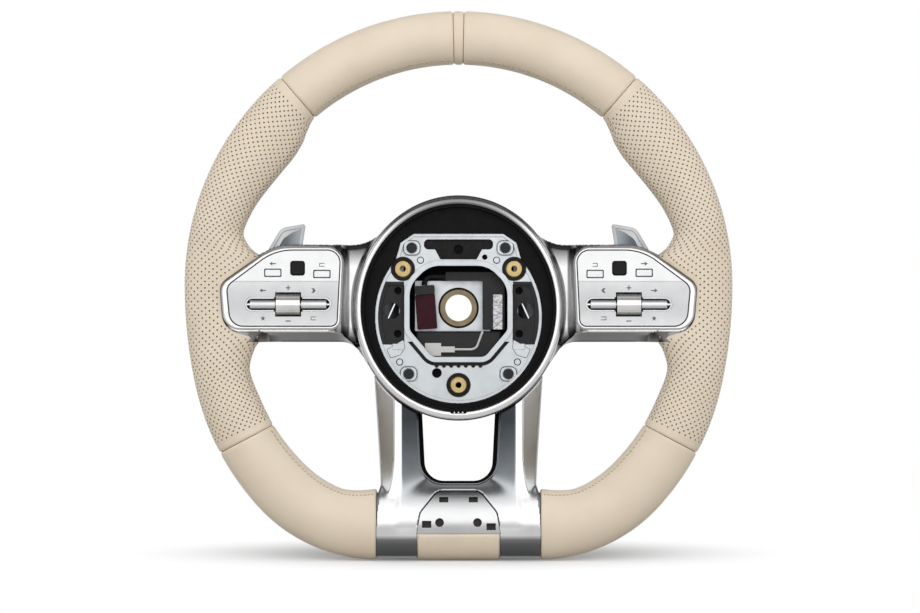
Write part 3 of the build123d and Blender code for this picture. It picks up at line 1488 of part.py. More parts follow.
def main():
    os.makedirs("parts", exist_ok=True)
    tube = ring_tube()
    foam = rim_foam(tube)
    save(hub_casting(tube), "hub_casting")
    save(hub_bush(), "hub_bush")
    save(tube, "rim_ring")
    save(foam, "rim_foam")
    save_pair(leather_top(-90 + MARKER_TURN, UPPER_SEAM), "leather_top")
    save(leather_top(-90 - MARKER_TURN, -90 + MARKER_TURN), "leather_top_marker")
    save_pair(leather_grip(), "leather_grip")
    save_pair(leather_bottom(), "leather_bottom")
    save(leather_bottom_center(), "leather_bottom_center")
    save(hub_bezel(), "hub_bezel")
    save(lower_spoke_trim(foam), "lower_spoke_trim")
    save(clip_plate(), "clip_plate")
    save_pair(pod_frame(), "pod_frame")
    save_pair(switch_panel(), "switch_panel")
    save_pair(switch_board(), "switch_board")
    for key_name, sizes in KEY_SIZES.items():
        save_pair(key(*sizes), key_name)
    save_pair(axle_rod(), "axle_rod")
    save_pair(roller(), "roller")
    bar_end = SLOT_LENGTH / 2 - BAR_END_GAP
    bar_start = ROLLER_WIDTH / 2 + BAR_ROLLER_GAP
    save_pair(rocker_bar(SLOT_X + bar_start, SLOT_X + bar_end), "rocker_outer")
    save_pair(rocker_bar(SLOT_X - bar_end, SLOT_X - bar_start), "rocker_inner")
    save_pair(paddle(), "paddle")
    save_pair(paddle_pivot(), "paddle_pivot")
    save_pair(paddle_bracket(cover_form(0.0, COVER_BACK)), "paddle_bracket")
    save(airbag_carrier(), "airbag_carrier")
    save_pair(carrier_insert(), "carrier_insert")
    save(both_sides(latch_spring()), "latch_springs")
    save(carrier_bushes(), "carrier_bushes")
    save(carrier_dampers(), "carrier_dampers")
    save(prism(circles(BUMPER_PLACES, BUMPER_RADIUS), CARRIER_FRONT, CARRIER_FRONT + BUMPER_HEIGHT), "carrier_bumpers")
    save(prism(circles(RIVET_PLACES, RIVET_RADIUS), CARRIER_FRONT, CARRIER_FRONT + RIVET_HEIGHT), "carrier_rivets")
    save(window_gasket(), "window_gasket")
    save(hub_liner(), "hub_liner")
    save(rear_cover(), "rear_cover")
    save(cover_screws(), "cover_screws")
    save(control_module(), "control_module")
    save(foil_socket(), "foil_socket")
    save(plug_block(-PLUG_HEIGHT / 2, PLUG_HEIGHT / 2, PLUG_FRONT), "plug_body")
    save(plug_cap(), "plug_cap")
    save(harness_cable(), "harness_cable")
    save(wire_terminal(), "wire_terminal")
    save(ground_wire(), "ground_wire")


if __name__ == "__main__":
    main()
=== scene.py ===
import json
import math

import bmesh
import bpy
import numpy as np
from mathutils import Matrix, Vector


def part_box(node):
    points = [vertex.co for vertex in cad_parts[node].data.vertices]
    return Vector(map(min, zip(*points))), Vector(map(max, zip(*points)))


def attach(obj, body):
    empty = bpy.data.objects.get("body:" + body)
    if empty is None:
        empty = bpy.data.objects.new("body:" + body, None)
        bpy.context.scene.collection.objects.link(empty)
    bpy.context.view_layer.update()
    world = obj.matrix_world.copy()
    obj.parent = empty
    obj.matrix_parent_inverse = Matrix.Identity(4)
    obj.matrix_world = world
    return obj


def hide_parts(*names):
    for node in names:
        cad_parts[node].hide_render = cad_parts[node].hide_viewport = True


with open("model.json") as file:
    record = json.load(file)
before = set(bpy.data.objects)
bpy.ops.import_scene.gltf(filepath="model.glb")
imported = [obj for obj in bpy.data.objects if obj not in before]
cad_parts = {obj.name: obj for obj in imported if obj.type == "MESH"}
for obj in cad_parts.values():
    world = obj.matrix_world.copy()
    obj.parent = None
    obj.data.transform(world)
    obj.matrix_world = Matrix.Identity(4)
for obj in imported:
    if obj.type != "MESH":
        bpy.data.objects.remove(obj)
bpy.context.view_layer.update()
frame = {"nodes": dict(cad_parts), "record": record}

# Shapes are worked out in millimetres: x to the right, level towards the driver, z up.
MM = 0.001
SIDES = (("right", 1.0), ("left", -1.0))
CORNER_WAYS = ((-1, -1), (1, -1), (1, 1), (-1, 1))
SHARP = 38.0
SECTION_SAMPLES = 361
RELIEF_SNAP, RELIEF_SLOPE = 0.42, 0.2
EDGE_STEEPEST = 0.995

# The rim's outline, as in the solids: four arcs on each side and a straight bottom
TOP_RADIUS = 186.2
TOP_CENTRE_Z = 15.5
SIDE_RADIUS, SIDE_TURN = 320.0, 12.2
HAUNCH_RADIUS, HAUNCH_TURN = 179.5, 42.5
CORNER_RADIUS = 109.0
QUARTER = 90.0
OUTLINE_STEPS = 6
RIM_LEVEL, RIM_HALF_DEPTH = 60.0, 16.0
RIM_FLAT_CENTRE, RIM_FLAT_HALF = -146.92, 23.9
MARKER_HALF = 3.75
PAD_HALF, PAD_TOP = 28.2, -152.6
PLATE_TOP = -124.0

# How wide the rim is across; the shares by turn say how much of each gain it has there
TOP_WIDTH, SEAM_WIDTH, BOTTOM_WIDTH = 36.3, 40.9, 47.8
THUMB_REST, WAIST, ROOT_FLARE = 8.3, 0.6, 20.5
UPPER_SEAM, LOWER_SEAM = -49.4, 28.0
EVEN_TURN, WAIST_TURN = -70.0, -14.0
THUMB_SHARES = {-45.5: 0.38, -42.0: 0.82, -37.5: 1.0, -32.0: 0.86, -27.0: 0.6, -20.0: 0.15}
FLARE_SHARES = {-10.5: 0.25, -8.0: 0.72, -4.0: 1.0, 0.0: 1.02, 4.0: 1.0, 7.2: 0.74, 9.2: 0.36}
SEAM_SHARES = {12.0: 0.45, 20.0: 0.8}
BOTTOM_SHARES = {36.0: 0.16, 44.0: 0.3, 53.0: 0.36, 61.0: 0.37, 69.0: 0.4, 76.0: 0.6, 83.0: 0.83, 90.0: 1.0}

# Leather finish
LEATHER = 1.4
SEAM_DEPTH, SEAM_RUN, SEAM_GAP = 1.3, 2.6, 0.15
EDGE_RUN = np.array([0, 0.04, 0.14, 0.3, 0.55, 0.8]) * SEAM_RUN
SKIN_STEP, SKIN_COLUMNS = 2.2, 64
PAD_ROWS, PAD_COLUMNS = 24, 48
HOLE_ROW, HOLE_COLUMNS, HOLE_SIDES = 2.35, 52, 8
HOLE_RADIUS, HOLE_DEPTH = 0.58, 0.9
HOLE_FLOOR_SHARE = 0.8
HOLE_CRISP = 40.0
LINING_ROWS = 5
PLAIN_MARGIN = 6.0
TUCK_RUN, TUCK_DROP = 3.2, 1.1
LEATHER_GAP, LEATHER_SLANT_X, LEATHER_CORNER = 0.6, 126.0, 14.0
STITCH_PITCH, STITCH_LENGTH, STITCH_RADIUS = 4.2, 3.1, 0.42
STITCH_ANGLE, STITCH_SLANT = 2.62, 0.05
STITCH_PRESS, STITCH_PROUD, STITCH_TIP = 2.6, 0.3, 0.08
STITCH_SIDES, STITCH_RINGS = 8, 5

# Hub ring, arms and pods
RING_A, RING_B = 70.8, 76.4
RING_INNER_A, RING_INNER_B = 66.1, 70.4
RING_FRONT, RING_FOOT = 70.0, 66.8
RING_SECTION = [
    (0.0, 0.9), (0.03, 0.45), (0.08, 0.15), (0.16, 0.0), (0.45, 0.0),
    (0.66, 0.5), (0.84, 1.3), (0.95, 2.2), (1.0, 3.2),
]
RING_STEPS = 288
RING_LAP, RING_COVE, RING_FLANK, RING_CLEAR = 0.6, 2.8, 1.0, 0.4
TRIM_BACK, TRIM_WALL = 46.5, 1.0
ARM_FRONT, ARM_TOP, ARM_BOTTOM = 66.0, 43.0, -23.2
ARM_WALL = 1.5
ARM_CORNER, ARM_FRONT_CORNER = 25.0, 13.5
UPPER_FLARE_RADIUS, LOWER_FLARE_RADIUS = 30.0, 15.0
ARM_TRAY_START, ARM_TRAY_BACK = 135.0, 56.0
ARM_STEP = 0.5
UPPER_FLARE, LOWER_FLARE = 47.0, -37.0
TROUGH_X, TROUGH_RUN, TROUGH_FADE = 73.2, 6.0, 14.0
TROUGH_LEVEL, TROUGH_TOP = 60.0, 74.5
ARM_EDGE, FLARE_EDGE = 1.2, 5.5
FLARE_END, FLARE_RUN = 96.0, 14.0
NECK_END = 84.0
ROOT_X, ROOT_HALF, ROOT_SINK = 157.0, 28.0, 2.2
ROOT_START, ROOT_RUN = 118.0, 24.0
POD_INNER, POD_OUTER = 77.0, 160.9
POD_TOP, POD_BOTTOM = 41.5, -14.8
POD_SHOULDER_X, POD_SHOULDER_Z = 125.0, 16.0
POD_LEAN, POD_LAP = 2.5, 3.0
POD_RADII = (7.0, 12.0, 10.0, 38.0, 11.0)
POD_END_RADIUS, POD_SHOULDER_RADIUS = POD_RADII[2:4]

# Lower spoke
LEG_TOP, LEG_FOOT, LEG_FOOT_RISE = -46.0, -147.0, 8.0
LEG_OUTER_TOP, LEG_OUTER_FOOT = 57.5, 52.7
LEG_SHOULDER, LEG_RIDGE_LEVEL, LEG_INNER_LEVEL = 54.0, 66.0, 61.0
LEG_END, LEG_END_RADIUS = -120.0, 9.0
BLOCK_OUTER, BLOCK_TOP, BLOCK_RADIUS = 55.4, -128.0, 5.0
RIDGE_OUTER, RIDGE_INNER = 43.2, 38.6
WINDOW_TOP_HALF, WINDOW_FOOT_HALF = 26.2, 22.6
WINDOW_BOTTOM, WINDOW_CORNER, WINDOW_SAG = -118.3, 13.0, 0.4
# Black painted shade on the window's inward-facing wall: its width, lip, top and front
WINDOW_SHADE_WIDTH, WINDOW_SHADE_LIP = 2.8, 0.4
WINDOW_SHADE_TOP, WINDOW_SHADE_FRONT = -72.0, 59.5
PLATE_GAP, PLATE_LEAN, PLATE_TOP_HALF, PLATE_RADIUS = 0.3, 2.5, 14.0, 8.0
SPLAY_TOP, SPLAY_RUN, SPLAY_FLATTEN = -112.0, 34.0, 0.75
SPLAY_OUT, SPLAY_IN = 5.0, 7.0
TWIST_TOP = -96.0
FOOT_BLEND, FOOT_TURN = 2.0, 14.0
FOOT_FALL, FOOT_FALL_TOP = 0.03, -132.0
FOOT_TOP, FOOT_FINISH = -120.0, -148.0
CLASP_RUN = 6.0
FOAM_COVER, COVER_BLEND, COVER_REACH = 1.0, 1.0, 0.84
FOOT_NOTCH_X, FOOT_NOTCH_TOP, FOOT_NOTCH_LEAN = 52.2, -121.0, 0.14
SADDLE_RADIUS, SADDLE_APEX = 47.8, 75.6
SPOKE_EDGE, SPOKE_DEPTH = 0.9, 8.0
SPOKE_BOX, SPOKE_STEP = (-59.0, 59.0, -172.0, LEG_TOP - 1), 0.6

# Switch panels, keys, slots and their signs
PANEL_FRONT, PANEL_RAISE, CREASE_Z = 76.4, 0.6, 18.0
PANEL_GAP, FRAME_BAND, FRAME_END_BAND = 0.7, 2.8, 4.8
PANEL_RADII = (4.2, 9.2, 7.2, 35.2, 8.2)
# Black painted shade in the gaps round the panels, keys and touch pads: how far below the front it lies, how
# deep it goes, how far it laps
GAP_DROP, GAP_DEPTH, GAP_LAP = 0.4, 2.4, 0.05
KEY_OUTER, KEY_INNER, KEY_HALF = (125.2, 23.7), (92.1, 22.9), (5.3, 2.25)
KEY_GAP, KEY_CORNER = (0.15, 0.75), 1.0
TOUCH_PAD, TOUCH_PAD_HALF = (108.5, 26.8), (4.45, 4.45)
SLOT_X, SLOT_Z = 114.9, 2.4
SLOT_HALF_LENGTH, SLOT_HALF_HEIGHT, SLOT_ROLLER_GAP = 29.1, 4.8, 9.6
SLOT_LINING, SLOT_LINING_BACK, SLOT_LINING_FRONT, SLOT_ARC = 1.0, 73.4, 76.2, 13
SIGN_ABOVE, SIGN_OFF, SIGN_FAR, SIGN_PITCH = 6.2, 9.4, 11.2, 17.0
SIGN_SINK, SIGN_RAISE, SIGN_SCALE = 0.2, 0.06, 1.25
ARROW = [(-1.7, -0.3), (0.3, -0.3), (0.3, -1.1), (1.9, 0.0), (0.3, 1.1), (0.3, 0.3), (-1.7, 0.3)]
BLOCK = [
    (-1.4, -1.0), (1.4, -1.0), (1.4, 1.0), (-1.4, 1.0),
    (-1.4, 0.6), (1.0, 0.6), (1.0, -0.6), (-1.4, -0.6),
]
PLUS = [
    (-0.3, -1.3), (0.3, -1.3), (0.3, -0.3), (1.3, -0.3), (1.3, 0.3), (0.3, 0.3),
    (0.3, 1.3), (-0.3, 1.3), (-0.3, 0.3), (-1.3, 0.3), (-1.3, -0.3), (-0.3, -0.3),
]
DASH = [(-1.4, -0.3), (1.4, -0.3), (1.4, 0.3), (-1.4, 0.3)]
MOON = [
    (1.2, 1.3), (-0.3, 1.2), (-1.3, 0.0), (-0.3, -1.2),
    (1.2, -1.3), (0.4, -0.5), (0.2, 0.0), (0.4, 0.5),
]
STAR = [
    (0.0, 1.5), (0.4, 0.5), (1.5, 0.45), (0.6, -0.2), (0.9, -1.3),
    (0.0, -0.65), (-0.9, -1.3), (-0.6, -0.2), (-1.5, 0.45), (-0.4, 0.5),
]
PADDLE_FRONT = 37.0
PADDLE_FACET = [
    (114.5, -3.0, 6.0), (125.6, 38.0, 6.0), (120.6, 47.6, 9.0), (114.4, 51.8, 6.0),
    (106.4, 55.0, 0.5), (108.0, 43.0, 6.0), (95.0, 9.0, 4.0),
]

# Hub: the notch in the ring, the carrier's plates, painted shade along their edges, and black sheets of
# painted shade behind its holes and round the hub plate
RING_NOTCH_HALF, RING_NOTCH_LOW, RING_NOTCH_HIGH, RING_NOTCH_DEPTH = 5.6, -71.6, -69.9, 2.0
RING_NOTCH_RADII = (1.2, 1.2, 0.5, 0.5)
PIN_RADIUS, PIN_DEPTH, PIN_SIDES = 0.55, 1.0, 12
CARRIER_A, CARRIER_B, CARRIER_Z, CARRIER_FRONT = 56.9, 59.0, -6.1, 51.5
FLANGE, BORDER_EDGE = 2.0, 37.2
OPENING_TOP, OPENING_BOTTOM = 16.0, -23.0
SIDE_PLATE_TOP, SIDE_PLATE_BOTTOM, SIDE_PLATE_RAISE, SIDE_PLATE_STEPS = 18.0, -25.0, 0.15, 25
FOLD = [(49.2, -28.4, 0.6), (46.4, -34.4, 1.0), (39.6, -32.2, 1.0), (36.6, -27.4, 1.0), (37.4, -21.4, 0.6)]
FOLD_RAISE = 0.9
# Width and raise of the painted shade along the edges of the carrier's plates, folds and rivets
EDGE_SHADE_WIDTH, EDGE_SHADE_RAISE = 0.55, 0.74
BUMPERS = [(-31.9, 41.0), (31.9, 41.0), (-34.0, -45.0), (34.0, -45.0)]
BUMPER_PLATE = (5.9, 5.1, 4.0)
RIVETS = [(-26.0, 32.6), (26.0, 32.6), (-40.2, -36.9), (40.2, -36.9)]
RIVET_RADIUS = 1.9
BUSHES = [(-38.0, 26.7), (38.0, 26.7), (0.0, -52.6)]
BUSH_STEPS = [(5.1, 4.5, 0.35), (3.6, 2.3, 0.5)]
BRASS_FRONT = 53.6
CIRCLE_SIDES = 40
HUB_PLATE_FRONT = 31.0
# Black sheets of painted shade: their thickness, then each hole's x, z, radius and level, then the sheets'
# left, right, bottom and top round the hub plate
SHADE_SHEET_THICKNESS = 0.5
HOLE_SHADES = [(0.0, 40.0, 4.0, 47.0), (-14.8, -44.4, 4.0, 48.5), (17.9, 34.7, 2.5, 48.5)]
HOLE_SHADES += [(x, z, 3.3, 46.0) for x, z in ((-41.4, 11.8), (41.4, 11.8), (-41.6, -17.6), (41.6, -17.6))]
PLATE_SHADES = [
    (-38.0, 38.0, 18.6, 36.0), (-38.0, -30.0, -16.0, 18.6),
    (22.0, 38.0, -16.0, 18.6), (-38.0, 38.0, -40.0, -16.0),
]
FOIL_X, FOIL_Z, FOIL_HALF, FOIL_CORNER, FOIL_RAISE = 26.9, -2.75, (3.4, 12.25), 1.0, 0.6

# Camera, floor, world and lamps, in metres apart from the camera's aim and the floor's height
CAMERA_AIM = (1.0, 1.0)
CAMERA_DISTANCE = 2.0
CAMERA_LENS, CAMERA_SENSOR = 115.1, 36.0
FLOOR_Z = -171.6
FLOOR_REACH = 30.0
FLOOR_SPREAD = (1.0, 1.6, 0.0)
FLOOR_FADE = (0.06, 0.24)
FLOOR_PALE, FLOOR_BOUNCE = (0.97, 0.97, 0.97, 1), (0.44, 0.425, 0.395, 1)
WHITE = (1, 1, 1, 1)
WORLD_STOPS = [(0.0, 1.0), (0.05, 0.9), (0.15, 0.3), (0.32, 0.28), (0.46, 0.5), (0.56, 0.8), (0.66, 1.0)]
WORLD_DIM = (0.3, 0.7)
WORLD_TOP = 0.3
AMBIENT = 0.3
LAMPS = {
    "front_softbox": ((0.0, -2.2, 0.75), (2.8, 2.0), 1.75),
    "top_softbox": ((0.0, -0.4, 2.0), (2.2, 1.6), 0.65),
    "left_softbox": ((-2.2, -1.0, 0.6), (1.2, 2.0), 1.5),
    "right_softbox": ((2.2, -1.0, 0.6), (1.2, 2.0), 1.5),
}


def smooth_through(stations):
    """Smooth curve through a few stations, as a function of one value."""
    at = np.array(sorted(stations))
    value = np.array([stations[key] for key in sorted(stations)])
    rise = np.diff(value) / np.diff(at)
    same = rise[:-1] * rise[1:] > 0
    both = np.where(same, rise[:-1] * rise[1:], 0.0)
    slope = np.concatenate([[0.0], 2 * both / np.where(same, rise[:-1] + rise[1:], 1.0), [0.0]])

    def curve(where):
        where = np.clip(np.asarray(where, float), at[0], at[-1])
        i = np.clip(np.searchsorted(at, where) - 1, 0, len(at) - 2)
        run = at[i + 1] - at[i]
        f = (where - at[i]) / run
        start = (1 + 2 * f) * (1 - f) ** 2 * value[i] + f * (1 - f) ** 2 * run * slope[i]
        return start + f * f * (3 - 2 * f) * value[i + 1] + f * f * (f - 1) * run * slope[i + 1]

    return curve


def rim_widths():
    """How wide the rim is across, by the turn of its outline."""
    widths = {-QUARTER: TOP_WIDTH, EVEN_TURN: TOP_WIDTH, UPPER_SEAM: TOP_WIDTH, LOWER_SEAM: SEAM_WIDTH}
    widths[WAIST_TURN] = TOP_WIDTH - WAIST
    gains = (
        (THUMB_SHARES, TOP_WIDTH, THUMB_REST),
        (FLARE_SHARES, TOP_WIDTH, ROOT_FLARE),
        (SEAM_SHARES, TOP_WIDTH, SEAM_WIDTH - TOP_WIDTH),
        (BOTTOM_SHARES, SEAM_WIDTH, BOTTOM_WIDTH - SEAM_WIDTH),
    )
    for shares, least, gain in gains:
        for turn, share in shares.items():
            widths[turn] = least + share * gain
    return smooth_through(widths)


def rim_outline():
    """Right half of the outline from the top centre to the bottom centre: length, x, z and turn."""
    ends = [-QUARTER, 0.0, SIDE_TURN, HAUNCH_TURN, QUARTER]
    radii = [TOP_RADIUS, SIDE_RADIUS, HAUNCH_RADIUS, CORNER_RADIUS]
    x, z = 0.0, TOP_CENTRE_Z + TOP_RADIUS
    xs, zs, turns = [x], [z], [-QUARTER]
    for radius, start, end in zip(radii, ends, ends[1:]):
        a0 = math.radians(start)
        cx, cz = x - radius * math.cos(a0), z + radius * math.sin(a0)
        for turn in np.linspace(start, end, int((end - start) * OUTLINE_STEPS) + 2)[1:]:
            a = math.radians(turn)
            xs.append(cx + radius * math.cos(a))
            zs.append(cz - radius * math.sin(a))
            turns.append(turn)
        x, z = xs[-1], zs[-1]
    xs.append(0.0)
    zs.append(z)
    turns.append(QUARTER)
    steps = np.hypot(np.diff(xs), np.diff(zs))
    return np.concatenate([[0.0], np.cumsum(steps)]), np.array(xs), np.array(zs), np.array(turns)


width_at = rim_widths()
OUT_LENGTH, OUT_X, OUT_Z, OUT_TURN = rim_outline()


def length_at(turn):
    return float(np.interp(turn, OUT_TURN[:-1], OUT_LENGTH[:-1]))


def rounded(corners, steps=8):
    """Closed outline from (x, z, radius) corners."""
    points = []
    count = len(corners)
    for i, (x, z, radius) in enumerate(corners):
        here = np.array([x, z])
        before = np.array(corners[i - 1][:2]) - here
        after = np.array(corners[(i + 1) % count][:2]) - here
        before /= np.linalg.norm(before)
        after /= np.linalg.norm(after)
        if radius <= 0:
            points.append(here)
            continue
        half = math.acos(float(np.clip(before @ after, -1, 1))) / 2
        middle = before + after
        centre = here + middle / np.linalg.norm(middle) * radius / math.sin(half)
        start = here + before * radius / math.tan(half) - centre
        end = here + after * radius / math.tan(half) - centre
        a0 = math.atan2(start[1], start[0])
        swing = math.atan2(end[1], end[0]) - a0
        swing = (swing + math.pi) % (2 * math.pi) - math.pi
        for k in range(steps + 1):
            a = a0 + swing * k / steps
            points.append(centre + radius * np.array([math.cos(a), math.sin(a)]))
    return np.array(points)


def outline_distance(outline):
    """Distance to a closed outline in the x-z plane, negative inside."""
    starts, ends = outline, np.roll(outline, -1, axis=0)

    def distance(x, z):
        best = np.full(np.shape(x), 1e9)
        inside = np.zeros(np.shape(x), bool)
        for (x0, z0), (x1, z1) in zip(starts, ends):
            dx, dz = x1 - x0, z1 - z0
            span = max(dx * dx + dz * dz, 1e-12)
            f = np.clip(((x - x0) * dx + (z - z0) * dz) / span, 0, 1)
            best = np.minimum(best, np.hypot(x - x0 - f * dx, z - z0 - f * dz))
            if z0 != z1:
                crosses = (z0 > z) != (z1 > z)
                inside ^= crosses & (x < x0 + (z - z0) * dx / dz)
        return np.where(inside, -best, best)

    return distance


def oval_distance(a, b, x, z):
    """Distance to an oval, negative inside, true near its edge."""
    value = (x / a) ** 2 + (z / b) ** 2 - 1
    slope = 2 * np.hypot(x / a**2, z / b**2)
    return value / np.maximum(slope, 1e-6)


def smooth_max(a, b, blend):
    return 0.5 * (a + b + np.sqrt((a - b) ** 2 + blend * blend))


def eased(share):
    """Share from nought to one with soft ends."""
    share = np.clip(share, 0, 1)
    return share * share * (3 - 2 * share)


def roll_off(share):
    """How far a surface rolls in: one at its edge, nought a whole run away."""
    return 1 - np.sqrt(1 - (1 - np.clip(share, 0, 1)) ** 2)


def pod_outline(inset=0.0, end_inset=0.0, radii=POD_RADII):
    """The switch pod's outline on the right side, or that of the panel inside its frame."""
    places = [
        (POD_INNER + POD_LEAN + inset, POD_BOTTOM + inset),
        (POD_OUTER - POD_LEAN - end_inset, POD_BOTTOM + inset),
        (POD_OUTER - end_inset, POD_SHOULDER_Z - inset / 2),
        (POD_SHOULDER_X - inset / 2, POD_TOP - inset),
        (POD_INNER + inset, POD_TOP - inset),
    ]
    return rounded([(x, z, radius) for (x, z), radius in zip(places, radii)])


def arm_outline(bottom, corner_radius):
    """The arm's outline on the right side, from its tangents on the ring to its end in the rim."""
    upper, lower = math.radians(UPPER_FLARE), math.radians(LOWER_FLARE)
    upper_x, upper_z = RING_A * math.cos(upper), RING_B * math.sin(upper)
    lower_x, lower_z = RING_A * math.cos(lower), RING_B * math.sin(lower)
    upper_run = (upper_z - ARM_TOP) * RING_A * math.sin(upper) / (RING_B * math.cos(upper))
    lower_run = (lower_z - bottom) * RING_A * math.sin(lower) / (RING_B * math.cos(lower))
    corners = [
        (upper_x, upper_z, 0.0),
        (upper_x + upper_run, ARM_TOP, UPPER_FLARE_RADIUS),
        (POD_SHOULDER_X + ARM_WALL / 2, ARM_TOP, POD_SHOULDER_RADIUS),
        (POD_OUTER + ARM_WALL, POD_SHOULDER_Z + ARM_WALL / 2, POD_END_RADIUS),
        (POD_OUTER + ARM_WALL - POD_LEAN, bottom, corner_radius),
        (lower_x + lower_run, bottom, LOWER_FLARE_RADIUS),
        (lower_x, lower_z, 0.0),
        (0.0, 0.0, 0.0),
    ]
    return rounded(corners)


def leather_edge():
    """Where the leather ends round the pod; below the pod the edge slants to the arm's lower edge."""
    end, foot = POD_OUTER + LEATHER_GAP, POD_BOTTOM - LEATHER_GAP
    corners = [
        (LEATHER_SLANT_X, ARM_BOTTOM - LEATHER_GAP, 0.0),
        (end - POD_LEAN, foot + POD_LEAN / 2, LEATHER_CORNER),
        (end, POD_SHOULDER_Z + LEATHER_GAP / 2, POD_END_RADIUS),
        (POD_SHOULDER_X + LEATHER_GAP / 2, POD_TOP + LEATHER_GAP, POD_SHOULDER_RADIUS),
        (POD_INNER, POD_TOP + LEATHER_GAP, 0.0),
        (POD_INNER, ARM_BOTTOM - LEATHER_GAP, 0.0),
    ]
    return rounded(corners)


arm_distance = outline_distance(arm_outline(ARM_BOTTOM, ARM_CORNER))
arm_front_distance = outline_distance(arm_outline(POD_BOTTOM - ARM_WALL, ARM_FRONT_CORNER))
pod_distance = outline_distance(pod_outline())
LEATHER_EDGE = leather_edge()
leather_edge_distance = outline_distance(LEATHER_EDGE)


def tuck_drop(x, z):
    """How far the leather rolls in beside the arm."""
    return TUCK_DROP * roll_off(leather_edge_distance(np.abs(x), z) / TUCK_RUN)


def rim_skin(length, angle, inset):
    """Points of the rim's surface: along the outline, round the section, and below the surface."""
    side = np.where(length < 0, -1.0, 1.0)
    length = np.abs(length)
    turn = np.radians(np.interp(length, OUT_LENGTH, OUT_TURN))
    half = width_at(np.degrees(turn)) / 2
    across = (half - inset) * np.cos(angle) - half
    x = np.interp(length, OUT_LENGTH, OUT_X) + np.cos(turn) * across
    z = np.interp(length, OUT_LENGTH, OUT_Z) - np.sin(turn) * across
    level = RIM_LEVEL + (RIM_HALF_DEPTH - inset) * np.sin(angle)
    level = np.where(np.sin(angle) > 0, level - tuck_drop(x, z) * np.sin(angle), level)
    return np.stack([x * side, -level, z], axis=-1)


def seam_dip(length, start, end):
    """How far a panel's end turns down into its seam."""
    return SEAM_DEPTH * roll_off(np.minimum(length - start, end - length) / SEAM_RUN)


def sided(shape, sign):
    """A shape as it is, or mirrored to the left with a sign of minus one."""
    points, faces = shape
    return np.asarray(points) * np.array([sign, 1.0, 1.0]), faces


def mesh_of(name, shape, split=False):
    """Closed mesh from millimetre points and faces."""
    points, faces = shape
    mesh = bpy.data.meshes.new(name)
    mesh.from_pydata((np.asarray(points) * MM).tolist(), [], faces)
    work = bmesh.new()
    work.from_mesh(mesh)
    if split:
        bmesh.ops.triangulate(work, faces=work.faces)
    bmesh.ops.recalc_face_normals(work, faces=work.faces)
    work.to_mesh(mesh)
    work.free()
    return mesh


def add_object(name, data):
    thing = bpy.data.objects.new(name, data)
    bpy.context.scene.collection.objects.link(thing)
    return thing


def add_piece(name, shape, finish, body="wheel", stands_for=(), sharp=SHARP):
    """A closed mesh riding on a body; edges over the sharp angle stay hard."""
    mesh = mesh_of(name, shape)
    mesh.polygons.foreach_set("use_smooth", np.ones(len(mesh.polygons), bool))
    if sharp is not None:
        mesh.set_sharp_from_angle(angle=math.radians(sharp))
    mesh.materials.append(MATERIALS[finish])
    piece = add_object(name, mesh)
    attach(piece, body)
    if stands_for:
        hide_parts(*stands_for)
    return piece


def add_sides(name, shape, finish, sharp=SHARP):
    """The same shape on the right and mirrored on the left."""
    for side, sign in SIDES:
        add_piece(f"{name}_{side}", sided(shape, sign), finish, sharp=sharp)


def grid_faces(rows, columns, first, close):
    """Quads between rows of points; the columns close into a loop."""
    faces = []
    for i in range(rows - 1):
        for j in range(columns if close else columns - 1):
            k = (j + 1) % columns
            a = first + i * columns
            faces.append((a + j, a + columns + j, a + columns + k, a + k))
    return faces


def bridge(first, second):
    """Quads between two closed loops with the same number of points."""
    return list(zip(first, first[1:] + first[:1], second[1:] + second[:1], second))


def both_skins(outer, inner, close):
    """Two grids of points as one list, and the quads of both."""
    rows, columns = outer.shape[:2]
    points = np.concatenate([outer.reshape(-1, 3), inner.reshape(-1, 3)])
    return points, grid_faces(rows, columns, 0, close) + grid_faces(rows, columns, rows * columns, close)


def tube_skin(start, end):
    """A leather panel round the rim between two lengths of the outline, with its thickness."""
    middle = np.linspace(start + SEAM_RUN, end - SEAM_RUN, max(3, int((end - start) / SKIN_STEP)))
    lengths = np.concatenate([start + EDGE_RUN, middle, (end - EDGE_RUN)[::-1]])
    angles = np.linspace(0, 2 * math.pi, SKIN_COLUMNS, endpoint=False)
    along, around = np.meshgrid(lengths, angles, indexing="ij")
    outer = rim_skin(along, around, seam_dip(along, start, end))
    inner = rim_skin(along, around, SEAM_DEPTH + LEATHER)
    points, faces = both_skins(outer, inner, True)
    for row in (0, along.size - SKIN_COLUMNS):
        edge = list(range(row, row + SKIN_COLUMNS))
        faces += bridge(edge, [along.size + i for i in edge])
    return points, faces


def even_angles(half, columns):
    """Angles that divide one section of the rim evenly."""
    angle = np.linspace(0, 2 * math.pi, SECTION_SAMPLES)
    speed = np.hypot(half * np.sin(angle), RIM_HALF_DEPTH * np.cos(angle))
    travel = np.concatenate([[0], np.cumsum((speed[1:] + speed[:-1]) / 2 * np.diff(angle))])
    wanted = np.linspace(0, travel[-1], columns + 1)
    return np.interp(wanted, travel, angle), travel[-1] / columns


